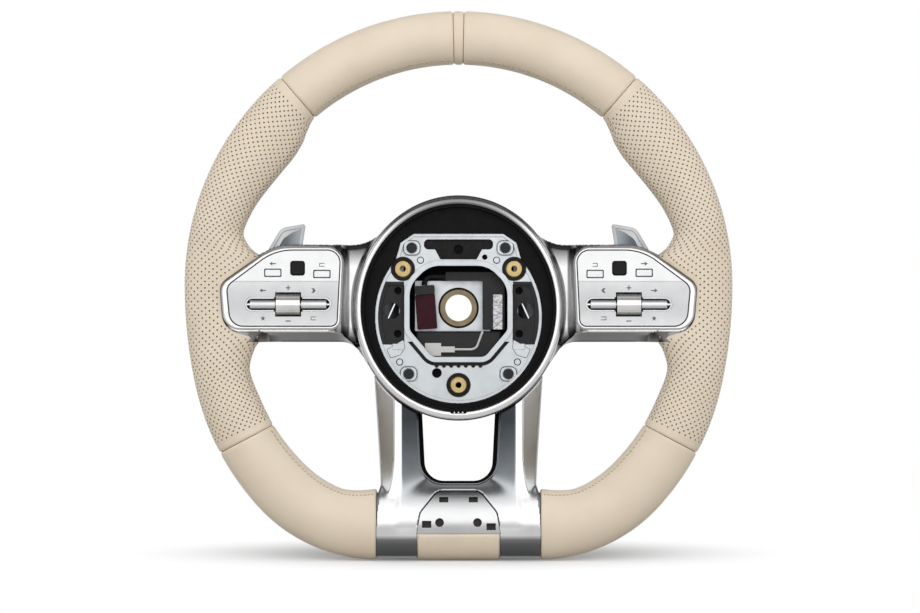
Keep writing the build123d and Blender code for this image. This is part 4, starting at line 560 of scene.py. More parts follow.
def perforated_skin(start, end):
    """The grip's leather with its holes, each with a wall and a floor, and the span of the holes' faces."""
    count = int(round((end - start - 2 * SEAM_RUN) / HOLE_ROW))
    lattice = np.linspace(start + SEAM_RUN, end - SEAM_RUN, count + 1)
    lengths = np.concatenate([start + EDGE_RUN, lattice, (end - EDGE_RUN)[::-1]])
    rows, columns = len(lengths), HOLE_COLUMNS
    turns = np.interp(lengths, OUT_LENGTH, OUT_TURN)
    tables = [even_angles(width_at(turn) / 2, columns) for turn in turns]
    table = np.array([angles for angles, _ in tables])
    pitch = np.array([step for _, step in tables])

    def skin(length, column, inset):
        i = np.clip(np.searchsorted(lengths, length) - 1, 0, rows - 2)
        f = (length - lengths[i]) / (lengths[i + 1] - lengths[i])
        column = np.mod(column, columns)
        j = np.minimum(column.astype(int), columns - 1)
        g = column - j
        low = table[i, j] * (1 - g) + table[i, j + 1] * g
        high = table[i + 1, j] * (1 - g) + table[i + 1, j + 1] * g
        return rim_skin(length, low * (1 - f) + high * f, inset + seam_dip(length, start, end))

    along, around = np.meshgrid(lengths, np.arange(columns, dtype=float), indexing="ij")
    node = skin(along, around, 0.0)
    parity = (np.arange(rows)[:, None] + np.arange(columns)[None, :]) % 2 == 0
    inside = (along > start + PLAIN_MARGIN) & (along < end - PLAIN_MARGIN)
    clear = leather_edge_distance(np.abs(node[..., 0]), node[..., 2]) > TUCK_RUN / 2
    hole = parity & inside & (clear | (node[..., 1] > -RIM_LEVEL))
    index = np.full((rows, columns), -1)
    index[~hole] = np.arange(np.count_nonzero(~hole))
    points = [node[~hole]]
    total = np.count_nonzero(~hole)
    hi, hj = np.nonzero(hole)
    ring = np.full((rows, columns), -1)
    ring[hi, hj] = total + HOLE_SIDES * np.arange(len(hi))
    angle = np.arange(HOLE_SIDES) * 2 * math.pi / HOLE_SIDES
    squeeze = 1 - (1 - np.cos(table[hi, hj])) * width_at(turns[hi]) / 2 / TOP_RADIUS
    reach = HOLE_RADIUS / squeeze
    for depth, share in ((0.0, 1.0), (HOLE_DEPTH, HOLE_FLOOR_SHARE)):
        up = lengths[hi][:, None] + share * reach[:, None] * np.cos(angle)
        turn = hj[:, None] + share * HOLE_RADIUS / pitch[hi][:, None] * np.sin(angle)
        points.append(skin(up, turn, depth).reshape(-1, 3))
    floor = HOLE_SIDES * len(hi)
    faces = []
    arcs = ((2, 1, 0), (4, 3, 2), (6, 5, 4), (0, 7, 6))
    for i in range(rows - 1):
        for j in range(columns):
            k = (j + 1) % columns
            face = []
            for (a, b), arc in zip(((i, j), (i + 1, j), (i + 1, k), (i, k)), arcs):
                if hole[a, b]:
                    face += [int(ring[a, b]) + step for step in arc]
                else:
                    face.append(int(index[a, b]))
            faces.append(tuple(face))
    skin_faces = len(faces)
    for a, b in zip(hi, hj):
        r = int(ring[a, b])
        rim, base = list(range(r, r + HOLE_SIDES)), list(range(r + floor, r + floor + HOLE_SIDES))
        faces += bridge(rim, base)
        faces.append(tuple(base))
    hole_faces = len(faces)
    points = np.concatenate(points)
    lining = np.unique(np.concatenate([np.arange(0, rows, LINING_ROWS), [rows - 1]]))
    inner = rim_skin(along[lining], table[lining][:, :-1], SEAM_DEPTH + LEATHER)
    first = len(points)
    points = np.concatenate([points, inner.reshape(-1, 3)])
    faces += grid_faces(len(lining), columns, first, True)
    last = first + (len(lining) - 1) * columns
    for row, below in ((0, first), (-1, last)):
        faces += bridge(index[row].tolist(), list(range(below, below + columns)))
    return (points, faces), (skin_faces, hole_faces)


def darken_holes(piece, span):
    """The faces of the holes take the dark finish."""
    mesh = piece.data
    mesh.materials.append(MATERIALS["hole"])
    which = np.zeros(len(mesh.polygons), np.int32)
    which[span[0]:span[1]] = 1
    mesh.polygons.foreach_set("material_index", which)


def cut_for_arm(piece, sign):
    """Cuts the front of the leather along the arm's end."""
    shape = prism(LEATHER_EDGE, ARM_TRAY_BACK, RIM_LEVEL + 2 * RIM_HALF_DEPTH)
    cutter = add_object("arm_cutter", mesh_of("arm_cutter", sided(shape, sign), split=True))
    change = piece.modifiers.new("cut", "BOOLEAN")
    change.object = cutter
    change.operation = "DIFFERENCE"
    change.solver = "MANIFOLD"
    seen = piece.evaluated_get(bpy.context.evaluated_depsgraph_get())
    result = bpy.data.meshes.new_from_object(seen)
    piece.modifiers.clear()
    piece.data = result
    bpy.data.objects.remove(cutter)
    result.set_sharp_from_angle(angle=math.radians(HOLE_CRISP))


def flat_skin():
    """The short leather piece at the bottom centre, open towards the clip plate."""
    front = math.acos((RIM_FLAT_CENTRE - PAD_TOP) / RIM_FLAT_HALF)
    half = PAD_HALF - SEAM_GAP
    middle = np.linspace(SEAM_RUN - half, half - SEAM_RUN, PAD_ROWS)
    xs = np.concatenate([-half + EDGE_RUN, middle, (half - EDGE_RUN)[::-1]])
    wrapped = np.linspace(front - SEAM_RUN / RIM_FLAT_HALF, -math.pi, PAD_COLUMNS)
    angles = np.concatenate([front - EDGE_RUN / RIM_FLAT_HALF, wrapped])
    across, around = np.meshgrid(xs, angles, indexing="ij")
    near = np.minimum(half - np.abs(across), (front - around) * RIM_FLAT_HALF)

    def wrap(inset):
        z = RIM_FLAT_CENTRE - (RIM_FLAT_HALF - inset) * np.cos(around)
        level = RIM_LEVEL + (RIM_HALF_DEPTH - inset) * np.sin(around)
        return np.stack([across, -level, z], axis=-1)

    outer = wrap(SEAM_DEPTH * roll_off(near / SEAM_RUN))
    points, faces = both_skins(outer, wrap(SEAM_DEPTH + LEATHER), False)
    rows, columns = across.shape
    border = [i * columns for i in range(rows)]
    border += [(rows - 1) * columns + j for j in range(1, columns)]
    border += [i * columns + columns - 1 for i in range(rows - 2, -1, -1)]
    border += list(range(columns - 2, 0, -1))
    return points, faces + bridge(border, [across.size + i for i in border])


def stitches(start, end):
    """Sewing along the inside of the rim: short slanted stitches pressed into the leather."""
    points, faces = [], []
    count = int((end - start - 2 * SEAM_RUN) / STITCH_PITCH)
    f = np.linspace(-0.5, 0.5, STITCH_RINGS)
    inset = STITCH_RADIUS * (STITCH_PRESS * np.abs(f) ** 2 - STITCH_PROUD)
    thick = STITCH_RADIUS * np.sqrt(np.maximum(1 - (2 * f) ** 4, STITCH_TIP))
    for i in range(count):
        middle = start + SEAM_RUN + (i + 0.5) * STITCH_PITCH
        path = rim_skin(middle + f * STITCH_LENGTH, STITCH_ANGLE + f * STITCH_SLANT, inset)
        ahead = path[-1] - path[0]
        ahead /= np.linalg.norm(ahead)
        side = np.cross(ahead, [0.0, 1.0, 0.0])
        side /= np.linalg.norm(side)
        up = np.cross(side, ahead)
        first = len(points)
        for centre, radius in zip(path, thick):
            for k in range(STITCH_SIDES):
                a = 2 * math.pi * k / STITCH_SIDES
                points.append(centre + radius * (side * math.cos(a) + up * math.sin(a)))
        faces += grid_faces(STITCH_RINGS, STITCH_SIDES, first, True)
        faces.append(tuple(range(first, first + STITCH_SIDES)))
        last = first + (STITCH_RINGS - 1) * STITCH_SIDES
        faces.append(tuple(range(last, last + STITCH_SIDES)))
    return np.array(points), faces


def shrunk(outline, amount):
    """Outline with each point moved inwards along its corner's middle."""
    ahead = np.roll(outline, -1, axis=0) - np.roll(outline, 1, axis=0)
    ahead /= np.linalg.norm(ahead, axis=1)[:, None]
    turn = np.sum(outline[:, 0] * np.roll(outline[:, 1], -1) - outline[:, 1] * np.roll(outline[:, 0], -1))
    return outline + np.stack([-ahead[:, 1], ahead[:, 0]], axis=-1) * np.sign(turn) * amount


def loop_points(loops):
    """Points of several outlines, each at its level."""
    rows = [np.stack([flat[:, 0], np.full(len(flat), -level), flat[:, 1]], axis=-1) for flat, level in loops]
    return np.concatenate(rows)


def closed_loops(loops):
    """Solid without ends: outlines at their levels, joined one to the next and the last to the first."""
    count = len(loops[0][0])
    last = (len(loops) - 1) * count
    faces = grid_faces(len(loops), count, 0, True)
    return loop_points(loops), faces + bridge(list(range(last, last + count)), list(range(count)))


def prism(outline, back, front, chamfer=0.0):
    """Closed solid with one outline between two levels; its front edge may be chamfered."""
    outline = np.asarray(outline)
    count = len(outline)
    loops = [(outline, back), (outline, front - chamfer)]
    if chamfer:
        loops.append((shrunk(outline, chamfer), front))
    last = (len(loops) - 1) * count
    ends = [tuple(range(count)), tuple(range(last, last + count))]
    return loop_points(loops), grid_faces(len(loops), count, 0, True) + ends


def band(outer, inner, front, back, back_inner=None):
    """Closed band between two outlines with the same number of points, at a front and a back level."""
    behind = inner if back_inner is None else back_inner
    return closed_loops([(behind, back), (inner, front), (outer, front), (outer, back)])


def joined(*shapes):
    """Several closed shapes as one list of points and faces."""
    points, faces, first = [], [], 0
    for some, sides in shapes:
        points.append(np.asarray(some))
        faces += [tuple(first + i for i in side) for side in sides]
        first += len(some)
    return np.concatenate(points), faces


def relief(distance, front, back, box, step):
    """Closed sheet over the area where distance is negative, between a back and a front surface."""
    xs = np.arange(box[0], box[1] + step, step)
    zs = np.arange(box[2], box[3] + step, step)
    x, z = (a.astype(float) for a in np.meshgrid(xs, zs, indexing="ij"))
    d = distance(x, z)
    gx, gz = np.gradient(d, step)
    size = np.maximum(gx * gx + gz * gz, RELIEF_SLOPE)
    near = np.abs(d) < RELIEF_SNAP * step
    x = np.where(near, x - d * gx / size, x)
    z = np.where(near, z - d * gz / size, z)
    d = np.where(near, 0.0, d)
    spots, where, faces = [], {}, []

    def spot(key, px, pz):
        if key not in where:
            where[key] = len(spots)
            spots.append((px, pz))
        return where[key]

    inside = d <= 0
    busy = inside[:-1, :-1] | inside[1:, :-1] | inside[1:, 1:] | inside[:-1, 1:]
    for i, j in zip(*np.nonzero(busy)):
        ring = ((i, j), (i + 1, j), (i + 1, j + 1), (i, j + 1))
        face = []
        for a, b in zip(ring, ring[1:] + ring[:1]):
            if inside[a]:
                face.append(spot(a, x[a], z[a]))
            if (d[a] < 0 < d[b]) or (d[b] < 0 < d[a]):
                f = d[a] / (d[a] - d[b])
                key = (min(a, b), max(a, b))
                face.append(spot(key, x[a] + f * (x[b] - x[a]), z[a] + f * (z[b] - z[a])))
        face = list(dict.fromkeys(face))
        if len(face) > 2:
            faces.append(face)
    px, pz = np.array(spots).T
    top = np.stack([px, -front(px, pz), pz], axis=-1)
    under = np.stack([px, -back(px, pz), pz], axis=-1)
    count = len(spots)
    edges = {}
    for face in faces:
        for a, b in zip(face, face[1:] + face[:1]):
            edges[(a, b)] = True
    walls = [(b, a, a + count, b + count) for a, b in edges if (b, a) not in edges]
    faces = faces + [[a + count for a in reversed(face)] for face in faces] + walls
    return np.concatenate([top, under]), faces


def round_over(distance, radius):
    """How far a surface drops at its rounded edge."""
    reach = np.clip((radius + distance) / radius, 0, 1)
    return radius * (1 - np.sqrt(1 - np.minimum(reach, EDGE_STEEPEST) ** 2))


def ring_shape():
    """The oval hub ring: its section swept round the oval."""
    turn = np.linspace(0, 2 * math.pi, RING_STEPS, endpoint=False)
    section = [(share, RING_FRONT - drop) for share, drop in RING_SECTION]
    loops = []
    for share, level in [(0.0, TRIM_BACK), *section, (1.0, TRIM_BACK)]:
        a = RING_INNER_A + share * (RING_A - RING_INNER_A)
        b = RING_INNER_B + share * (RING_B - RING_INNER_B)
        loops.append((np.stack([a * np.cos(turn), b * np.sin(turn)], axis=-1), level))
    return closed_loops(loops)


def arm_shape():
    """Both arms: trough beside the ring, rise to the pod, bevel below it. Open under the pods."""

    def distance(x, z):
        wide = np.abs(x)
        ring = oval_distance(RING_A, RING_B, x, z) + RING_LAP
        pod = pod_distance(wide, z) + POD_LAP
        return np.maximum(np.maximum(arm_distance(wide, z), -ring), -pod)

    def front(x, z):
        wide = np.abs(x)
        cove = np.clip(oval_distance(RING_A, RING_B, x, z) / RING_COVE, 0, 1)
        ring = RING_FOOT - (RING_FOOT - TROUGH_LEVEL) * np.sqrt(1 - (1 - cove) ** 2)
        beside = np.clip(1 - pod_distance(wide, z) / TROUGH_FADE, 0, 1)
        beside = beside * np.clip((FLARE_END - FLARE_RUN - wide) / TROUGH_RUN + 1, 0, 1)
        crest = ARM_FRONT + (TROUGH_TOP - ARM_FRONT) * beside
        climb = np.clip((wide - TROUGH_X) / TROUGH_RUN, 0, 1)
        level = np.maximum(ring, TROUGH_LEVEL + (crest - TROUGH_LEVEL) * (1 - np.sqrt(1 - climb * climb)))
        inside = np.maximum(-arm_distance(wide, z), 0)
        outside = np.maximum(arm_front_distance(wide, z), 0)
        bevel = TRIM_BACK + (ARM_FRONT - TRIM_BACK) * inside / np.maximum(inside + outside, 1e-6)
        level = np.where(outside > 0, np.minimum(level, bevel), level)
        root = np.clip((wide - ROOT_X) / ROOT_HALF, -1, 1)
        swell = RIM_LEVEL + (RIM_HALF_DEPTH - ROOT_SINK) * np.sqrt(1 - root * root)
        swollen = level + np.maximum(swell - level, 0) * eased((wide - ROOT_START) / ROOT_RUN)
        level = np.where(outside > 0, swollen, level)
        edge = ARM_EDGE + (FLARE_EDGE - ARM_EDGE) * np.clip((FLARE_END - wide) / FLARE_RUN, 0, 1)
        drop = np.where(outside > 0, 0.0, round_over(-inside, edge))
        return np.maximum(level - drop, TRIM_BACK + TRIM_WALL)

    def back(x, z):
        tray = np.minimum(ARM_TRAY_BACK, front(x, z) - TRIM_WALL)
        return np.where(np.abs(x) > ARM_TRAY_START, tray, TRIM_BACK)

    reach = POD_OUTER + 2 * ARM_WALL
    return relief(distance, front, back, (-reach, reach, -RING_B, RING_B), ARM_STEP)


def window_outline(top, grow=0.0):
    """The opening between the legs, from a height down."""
    lean = (WINDOW_TOP_HALF - WINDOW_FOOT_HALF) / (LEG_TOP - WINDOW_BOTTOM)
    half, foot = WINDOW_TOP_HALF - lean * (LEG_TOP - top) + grow, WINDOW_FOOT_HALF + grow
    bottom, corner = WINDOW_BOTTOM - WINDOW_SAG * grow, WINDOW_CORNER + grow
    return rounded([(-half, top, 0.0), (half, top, 0.0), (foot, bottom, corner), (-foot, bottom, corner)])


def both_halves(right):
    """Outline from the corners of its right half, going up."""
    return rounded(right + [(-x, z, radius) for x, z, radius in reversed(right)])


def spoke_outline():
    """Both legs, their feet round the rim and the saddle between them."""
    bottom = RIM_FLAT_CENTRE - RIM_FLAT_HALF
    return both_halves([
        (PAD_HALF, PAD_TOP, 0.0),
        (PAD_HALF, bottom, 0.0),
        (BLOCK_OUTER, bottom, 0.0),
        (BLOCK_OUTER, BLOCK_TOP, BLOCK_RADIUS),
        (LEG_OUTER_FOOT, LEG_END, LEG_END_RADIUS),
        (LEG_OUTER_TOP, LEG_TOP, 0.0),
    ])


def plate_outline():
    """Tombstone outline round the clip plate."""
    half = PAD_HALF + PLATE_GAP
    return both_halves([
        (half, PAD_TOP, 0.0),
        (half - PLATE_LEAN, (PLATE_TOP + PAD_TOP) / 2, PLATE_RADIUS),
        (PLATE_TOP_HALF + PLATE_GAP, PLATE_TOP + PLATE_GAP, PLATE_RADIUS),
    ])


def spoke_shape():
    """Double lower spoke with its feet and saddle."""
    body = outline_distance(spoke_outline())
    window = outline_distance(window_outline(LEG_TOP, WINDOW_SHADE_WIDTH))
    plate = outline_distance(plate_outline())

    def distance(x, z):
        ring = oval_distance(RING_A, RING_B, x, z)
        openings = np.maximum(-plate(x, z), RING_CLEAR - ring)
        return np.maximum(np.maximum(body(x, z), -window(x, z)), openings)

    def front(x, z):
        wide = np.abs(x)
        run = np.clip((LEG_TOP - z) / (LEG_TOP - LEG_FOOT), 0, 1)
        splay = np.clip((SPLAY_TOP - z) / SPLAY_RUN, 0, 1) ** 2
        outer_edge = LEG_OUTER_TOP + (LEG_OUTER_FOOT - LEG_OUTER_TOP) * run
        inner_edge = WINDOW_TOP_HALF + (WINDOW_FOOT_HALF - WINDOW_TOP_HALF) * run
        twist = np.clip((TWIST_TOP - z) / SPLAY_RUN, 0, 1) ** 2
        ridge_out, ridge_in = RIDGE_OUTER + SPLAY_OUT * twist, RIDGE_INNER - SPLAY_IN * splay
        outer = (1 - SPLAY_FLATTEN * twist) * (LEG_RIDGE_LEVEL - LEG_SHOULDER) / (outer_edge - RIDGE_OUTER)
        inner = (1 - SPLAY_FLATTEN * splay) * (LEG_RIDGE_LEVEL - LEG_INNER_LEVEL) / (RIDGE_INNER - inner_edge)
        leg = LEG_RIDGE_LEVEL - outer * np.maximum(wide - ridge_out, 0)
        leg -= inner * np.maximum(ridge_in - wide, 0)
        leg += LEG_FOOT_RISE * run * run
        over = np.clip(z - RIM_FLAT_CENTRE, -SADDLE_RADIUS, SADDLE_RADIUS)
        saddle = SADDLE_APEX - SADDLE_RADIUS + np.sqrt(SADDLE_RADIUS**2 - over * over)
        low = np.clip((z - RIM_FLAT_CENTRE) / RIM_FLAT_HALF, -1, 1)
        rim = RIM_LEVEL + RIM_HALF_DEPTH * np.sqrt(1 - low * low)
        fall = FOOT_FALL * np.maximum(FOOT_FALL_TOP - z, 0) ** 2
        between = smooth_max(leg - fall, saddle, FOOT_BLEND) - FOOT_BLEND / 4
        settled = leg + (saddle - leg) * eased((FOOT_TOP - z) / (FOOT_TOP - RIM_FLAT_CENTRE))
        level = between + (settled - between) * eased((wide - RIDGE_INNER) / CLASP_RUN)
        near = np.clip(COVER_REACH * (z - RIM_FLAT_CENTRE) / RIM_FLAT_HALF, -1, 1)
        cover = RIM_LEVEL + (RIM_HALF_DEPTH - FOAM_COVER) * np.sqrt(1 - near * near)
        cover = np.where(near < 1, cover, TRIM_BACK)
        blend = COVER_BLEND * eased((wide - RIDGE_OUTER) / CLASP_RUN)
        level = np.where(wide > RIDGE_OUTER, smooth_max(level, cover, blend), level)
        turn = eased(1 + (z - RIM_FLAT_CENTRE) / FOOT_TURN)
        level = np.where(z < RIM_FLAT_CENTRE, rim + (level - rim) * turn, level)
        drop = round_over(distance(x, z), SPOKE_EDGE) * (z > RIM_FLAT_CENTRE)
        return np.maximum(level - drop, RIM_LEVEL - SPOKE_DEPTH)

    def back(x, z):
        low = np.clip((z - RIM_FLAT_CENTRE) / RIM_FLAT_HALF, -1, 1)
        rim = RIM_LEVEL - RIM_HALF_DEPTH * np.sqrt(1 - low * low)
        return np.where(z < RIM_FLAT_CENTRE, rim, np.minimum(rim, TRIM_BACK))

    return relief(distance, front, back, SPOKE_BOX, SPOKE_STEP)


# What the finishes share
EDGE_SOFT = 0.00035
TONE_LOW, TONE_HIGH = 0.3, 0.7
GLOSS_GRAIN, BUMP_GRAIN, BUMP_STRENGTH = 3.1, 6, 0.6
GRAIN_CELLS, GRAIN_CREASE, GRAIN_STRENGTH, GRAIN_DEPTH = 950.0, 0.25, 0.35, 0.00012
SATIN = ((0.45, 0.45, 0.45), (0.43, 0.43, 0.43), 30.0)
BAND_ROUGH = (0.2, 0.26)
# Tints of the painted reflections on satin: the darker a band's painted shade, the more tint it takes
PLAIN, COOL, FAINT_COOL, WARM = (1.0, 1.0, 1.0), (0.86, 1.0, 1.12), (0.97, 1.0, 1.03), (1.0, 0.96, 0.9)
METAL = {"metal": 1.0}
SOFT_METAL = {"metal": 1.0, "edge": EDGE_SOFT}

# Finishes: two tones, the grain of their mix, the range of roughness, and what else differs
FINISHES = {
    "hole": ((0.10, 0.075, 0.05), (0.06, 0.045, 0.03), 60.0, (0.7, 0.85), {}),
    "thread": (
        (0.58, 0.48, 0.37), (0.50, 0.41, 0.31), 400.0, (0.6, 0.75),
        {"bump": 0.00005, "bump_grain": 3000.0},
    ),
    "satin_silver": (*SATIN, (0.2, 0.25), SOFT_METAL),
    # Darker copy of the satin silver, used as painted shade
    "satin_painted_shade": ((0.19, 0.195, 0.205), (0.17, 0.175, 0.185), 30.0, (0.42, 0.5), METAL),
    "panel_silver": (
        (0.48, 0.485, 0.49), (0.46, 0.465, 0.47), 40.0, (0.3, 0.36),
        {"metal": 0.85, "edge": EDGE_SOFT},
    ),
    "roller_metal": ((0.58, 0.575, 0.565), (0.52, 0.515, 0.505), 60.0, (0.2, 0.28), METAL),
    "gloss_black": (
        (0.003, 0.003, 0.0035), (0.005, 0.005, 0.0055), 50.0, (0.05, 0.1),
        {"Specular_IOR_Level": 0.09},
    ),
    "brass": ((0.37, 0.28, 0.13), (0.31, 0.23, 0.105), 90.0, (0.25, 0.36), SOFT_METAL),
    "black_rubber": (
        (0.006, 0.006, 0.0065), (0.01, 0.01, 0.011), 120.0, (0.5, 0.65),
        {"bump": 0.00004, "bump_grain": 1600.0, "Specular_IOR_Level": 0.16},
    ),
    "black_plastic": (
        (0.002, 0.002, 0.0022), (0.003, 0.003, 0.0033), 90.0, (0.26, 0.36),
        {"Specular_IOR_Level": 0.06},
    ),
    # Black without reflection, used as painted shade in gaps, in openings and behind holes
    "painted_shade_black": (
        (0.008, 0.008, 0.009), (0.012, 0.012, 0.013), 90.0, (0.7, 0.8),
        {"Specular_IOR_Level": 0.0},
    ),
    "charcoal": (
        (0.022, 0.022, 0.024), (0.03, 0.03, 0.032), 90.0, (0.4, 0.5),
        {"bump": 0.00002, "bump_grain": 2200.0, "Specular_IOR_Level": 0.14},
    ),
    "mark": ((0.13, 0.13, 0.135), (0.16, 0.16, 0.165), 300.0, (0.5, 0.6), {"Specular_IOR_Level": 0.2}),
    "foil": (
        (0.32, 0.32, 0.33), (0.24, 0.24, 0.25), 120.0, (0.1, 0.2),
        {"metal": 1.0, "bump": 0.0016, "bump_grain": 420.0},
    ),
    "steel": ((0.66, 0.67, 0.68), (0.6, 0.61, 0.62), 70.0, (0.25, 0.34), SOFT_METAL),
    "cast_metal": ((0.36, 0.378, 0.39), (0.325, 0.342, 0.355), 60.0, (0.3, 0.38), SOFT_METAL),
    "bush_steel": ((0.162, 0.126, 0.078), (0.12, 0.093, 0.057), 120.0, (0.3, 0.42), {"metal": 0.9}),
    "circuit_board": ((0.02, 0.09, 0.04), (0.03, 0.12, 0.05), 200.0, (0.4, 0.5), {}),
    "grey_plastic": (
        (0.16, 0.16, 0.165), (0.13, 0.13, 0.135), 80.0, (0.42, 0.55),
        {"bump": 0.00003, "bump_grain": 2200.0},
    ),
    "red_plastic": (
        (0.042, 0.005, 0.012), (0.03, 0.0035, 0.009), 80.0, (0.35, 0.5),
        {"bump": 0.00003, "bump_grain": 2000.0, "Specular_IOR_Level": 0.1},
    ),
    "white_plastic": (
        (0.72, 0.71, 0.68), (0.66, 0.65, 0.62), 80.0, (0.4, 0.5),
        {"bump": 0.00002, "bump_grain": 2000.0},
    ),
    "foam": ((0.05, 0.045, 0.04), (0.035, 0.03, 0.03), 200.0, (0.8, 0.9), {"bump": 0.0001}),
}

# Satin metal with painted reflections, its highlights and shade as brightness along an axis: stops of
# millimetres and brightness, and a tint
PAINTED_LIGHT_BANDS = {
    # Painted reflections on the legs: inner faces dark above and brightening towards the foot
    "leg_inner_painted_light": ("Z", [(-140, 1.0), (-126, 0.8), (-112, 0.5), (-96, 0.34), (-76, 0.16)], COOL),
    "leg_outer_painted_light": ("Z", [(-145, 1.05), (-128, 1.05), (-106, 0.9), (-76, 0.95)], COOL),
    # Painted reflection on the foot round the rim: bright top, a dark band below it, a thin bright line at
    # the bottom
    "foot": (
        "Z",
        [
            (-172, 0.9), (-168.5, 0.85), (-167.8, 0.2), (-160, 0.26),
            (-156.5, 0.4), (-153.5, 1.3), (-148, 1.05),
        ],
        FAINT_COOL,
    ),
    # Painted highlight on the arms beside the ring, with painted shade above and below it
    "neck": (
        "Z",
        [
            (-30, 0.06), (-22, 0.1), (-17, 0.35), (-12, 0.95), (28, 0.95),
            (35, 0.45), (40, 0.12), (46, 0.06), (58, 0.05),
        ],
        PLAIN,
    ),
    # Painted shade on the bevel under the pods, lighter towards the rim
    "bevel": ("X", [(72, 0.04), (80, 0.05), (98, 0.08), (120, 0.12), (140, 0.36), (156, 0.56)], WARM),
    # Painted shade towards the top of the hub ring, painted highlight lower down
    "ring": ("Z", [(-78, 1.3), (30, 1.3), (50, 0.95), (62, 0.5), (72, 0.3), (78, 0.25)], PLAIN),
    # Painted highlight above the switch panels' crease
    "panel_painted_light": (
        "Z", [(-15, 0.82), (0, 0.64), (10, 0.66), (17.5, 0.72), (18.3, 0.88), (42, 0.88)], FAINT_COOL,
    ),
    # Painted shade under the clip plate's top, painted highlight lower down
    "plate_painted_light": (
        "Z", [(-153, 1.0), (-146, 0.9), (-136, 0.82), (-132, 0.68), (-128, 0.42), (-124, 0.36)], FAINT_COOL,
    ),
    # Painted highlight along the paddles' band, painted shade across their faces
    "paddle_painted_light": ("X", [(104, 0.4), (108, 0.5), (121, 0.58), (128, 0.46)], FAINT_COOL),
    "facet_painted_shade": ("X", [(104, 0.42), (110, 0.35), (118, 0.15), (126, 0.09)], COOL),
}

# Solids that take another finish than their slot's; the panels, the clip plate and the paddles take satin
# with painted highlights and shade
NODE_FINISH = {
    "switch_panel_left": "panel_painted_light",
    "switch_panel_right": "panel_painted_light",
    "clip_plate": "plate_painted_light",
    "paddle_left": "paddle_painted_light",
    "paddle_right": "paddle_painted_light",
    "carrier_bumpers": "charcoal",
    "carrier_rivets": "cast_metal",
    "carrier_insert_left": "charcoal",
    "carrier_insert_right": "charcoal",
    "control_module": "charcoal",
    "plug_cap": "charcoal",
    "foil_socket": "charcoal",
}


def node_of(tree, kind, *sources, operation=None, **inputs):
    """Shader node: its first inputs linked from other nodes' outputs, the named ones linked or set."""
    node = tree.nodes.new(f"ShaderNode{kind}")
    if operation:
        node.operation = operation
    for socket, source in zip(node.inputs, sources):
        tree.links.new(source, socket)
    for key, value in inputs.items():
        socket = node.inputs[key.replace("_", " ")]
        if isinstance(value, bpy.types.NodeSocket):
            tree.links.new(value, socket)
        else:
            socket.default_value = value
    return node


def fill_ramp(ramp, stops):
    """Colour ramp through stops of a position and a colour."""
    steps = ramp.color_ramp.elements
    while len(steps) < len(stops):
        steps.new(0.5)
    for step, (position, colour) in zip(steps, stops):
        step.position = position
        step.color = (*colour, 1)


def finish_material(
    name, colour, other, grain, rough, metal=0.0, bump=0.0, bump_grain=None, edge=0.0, **shader
):
    """Procedural finish: two tones mixed by noise, uneven gloss, fine bump, softened edges."""
    made = bpy.data.materials.new(name)
    made.use_nodes = True
    tree = made.node_tree
    link = tree.links.new
    surface = tree.nodes["Principled BSDF"].inputs
    surface["Metallic"].default_value = metal
    for key, value in shader.items():
        surface[key.replace("_", " ")].default_value = value
    source = node_of(tree, "TexCoord").outputs["Object"]
    tone = node_of(tree, "TexNoise", source, Scale=grain, Detail=4.0)
    ramp = node_of(tree, "ValToRGB", tone.outputs["Fac"])
    fill_ramp(ramp, [(TONE_LOW, colour), (TONE_HIGH, other)])
    link(ramp.outputs["Color"], surface["Base Color"])
    gloss = node_of(tree, "TexNoise", source, Scale=grain * GLOSS_GRAIN, Detail=3.0)
    spread = node_of(
        tree, "MapRange", gloss.outputs["Fac"],
        From_Min=TONE_LOW, From_Max=TONE_HIGH, To_Min=rough[0], To_Max=rough[1],
    )
    link(spread.outputs["Result"], surface["Roughness"])
    if edge:
        soft = node_of(tree, "Bevel", Radius=edge)
        link(soft.outputs["Normal"], surface["Normal"])
    if bump:
        fine = node_of(tree, "TexNoise", source, Scale=bump_grain or grain * BUMP_GRAIN, Detail=3.0)
        raised = node_of(tree, "Bump", Strength=BUMP_STRENGTH, Distance=bump, Height=fine.outputs["Fac"])
        link(raised.outputs["Normal"], surface["Normal"])
    return made


def leather_material():
    """Warm beige leather: cells of grain, creases between them, slightly uneven dye."""
    made = finish_material(
        "leather_beige", (0.86, 0.75, 0.605), (0.82, 0.705, 0.56), 38.0, (0.42, 0.58),
        Sheen_Weight=0.12, Sheen_Roughness=0.4, Specular_IOR_Level=0.38,
    )
    tree = made.node_tree
    place = tree.nodes["Texture Coordinate"]
    cells = node_of(tree, "TexVoronoi", place.outputs["Object"], Scale=GRAIN_CELLS)
    cells.feature = "DISTANCE_TO_EDGE"
    crease = node_of(tree, "MapRange", cells.outputs["Distance"], From_Max=GRAIN_CREASE)
    height = crease.outputs["Result"]
    raised = node_of(tree, "Bump", Strength=GRAIN_STRENGTH, Distance=GRAIN_DEPTH, Height=height)
    tree.links.new(raised.outputs["Normal"], tree.nodes["Principled BSDF"].inputs["Normal"])
    return made


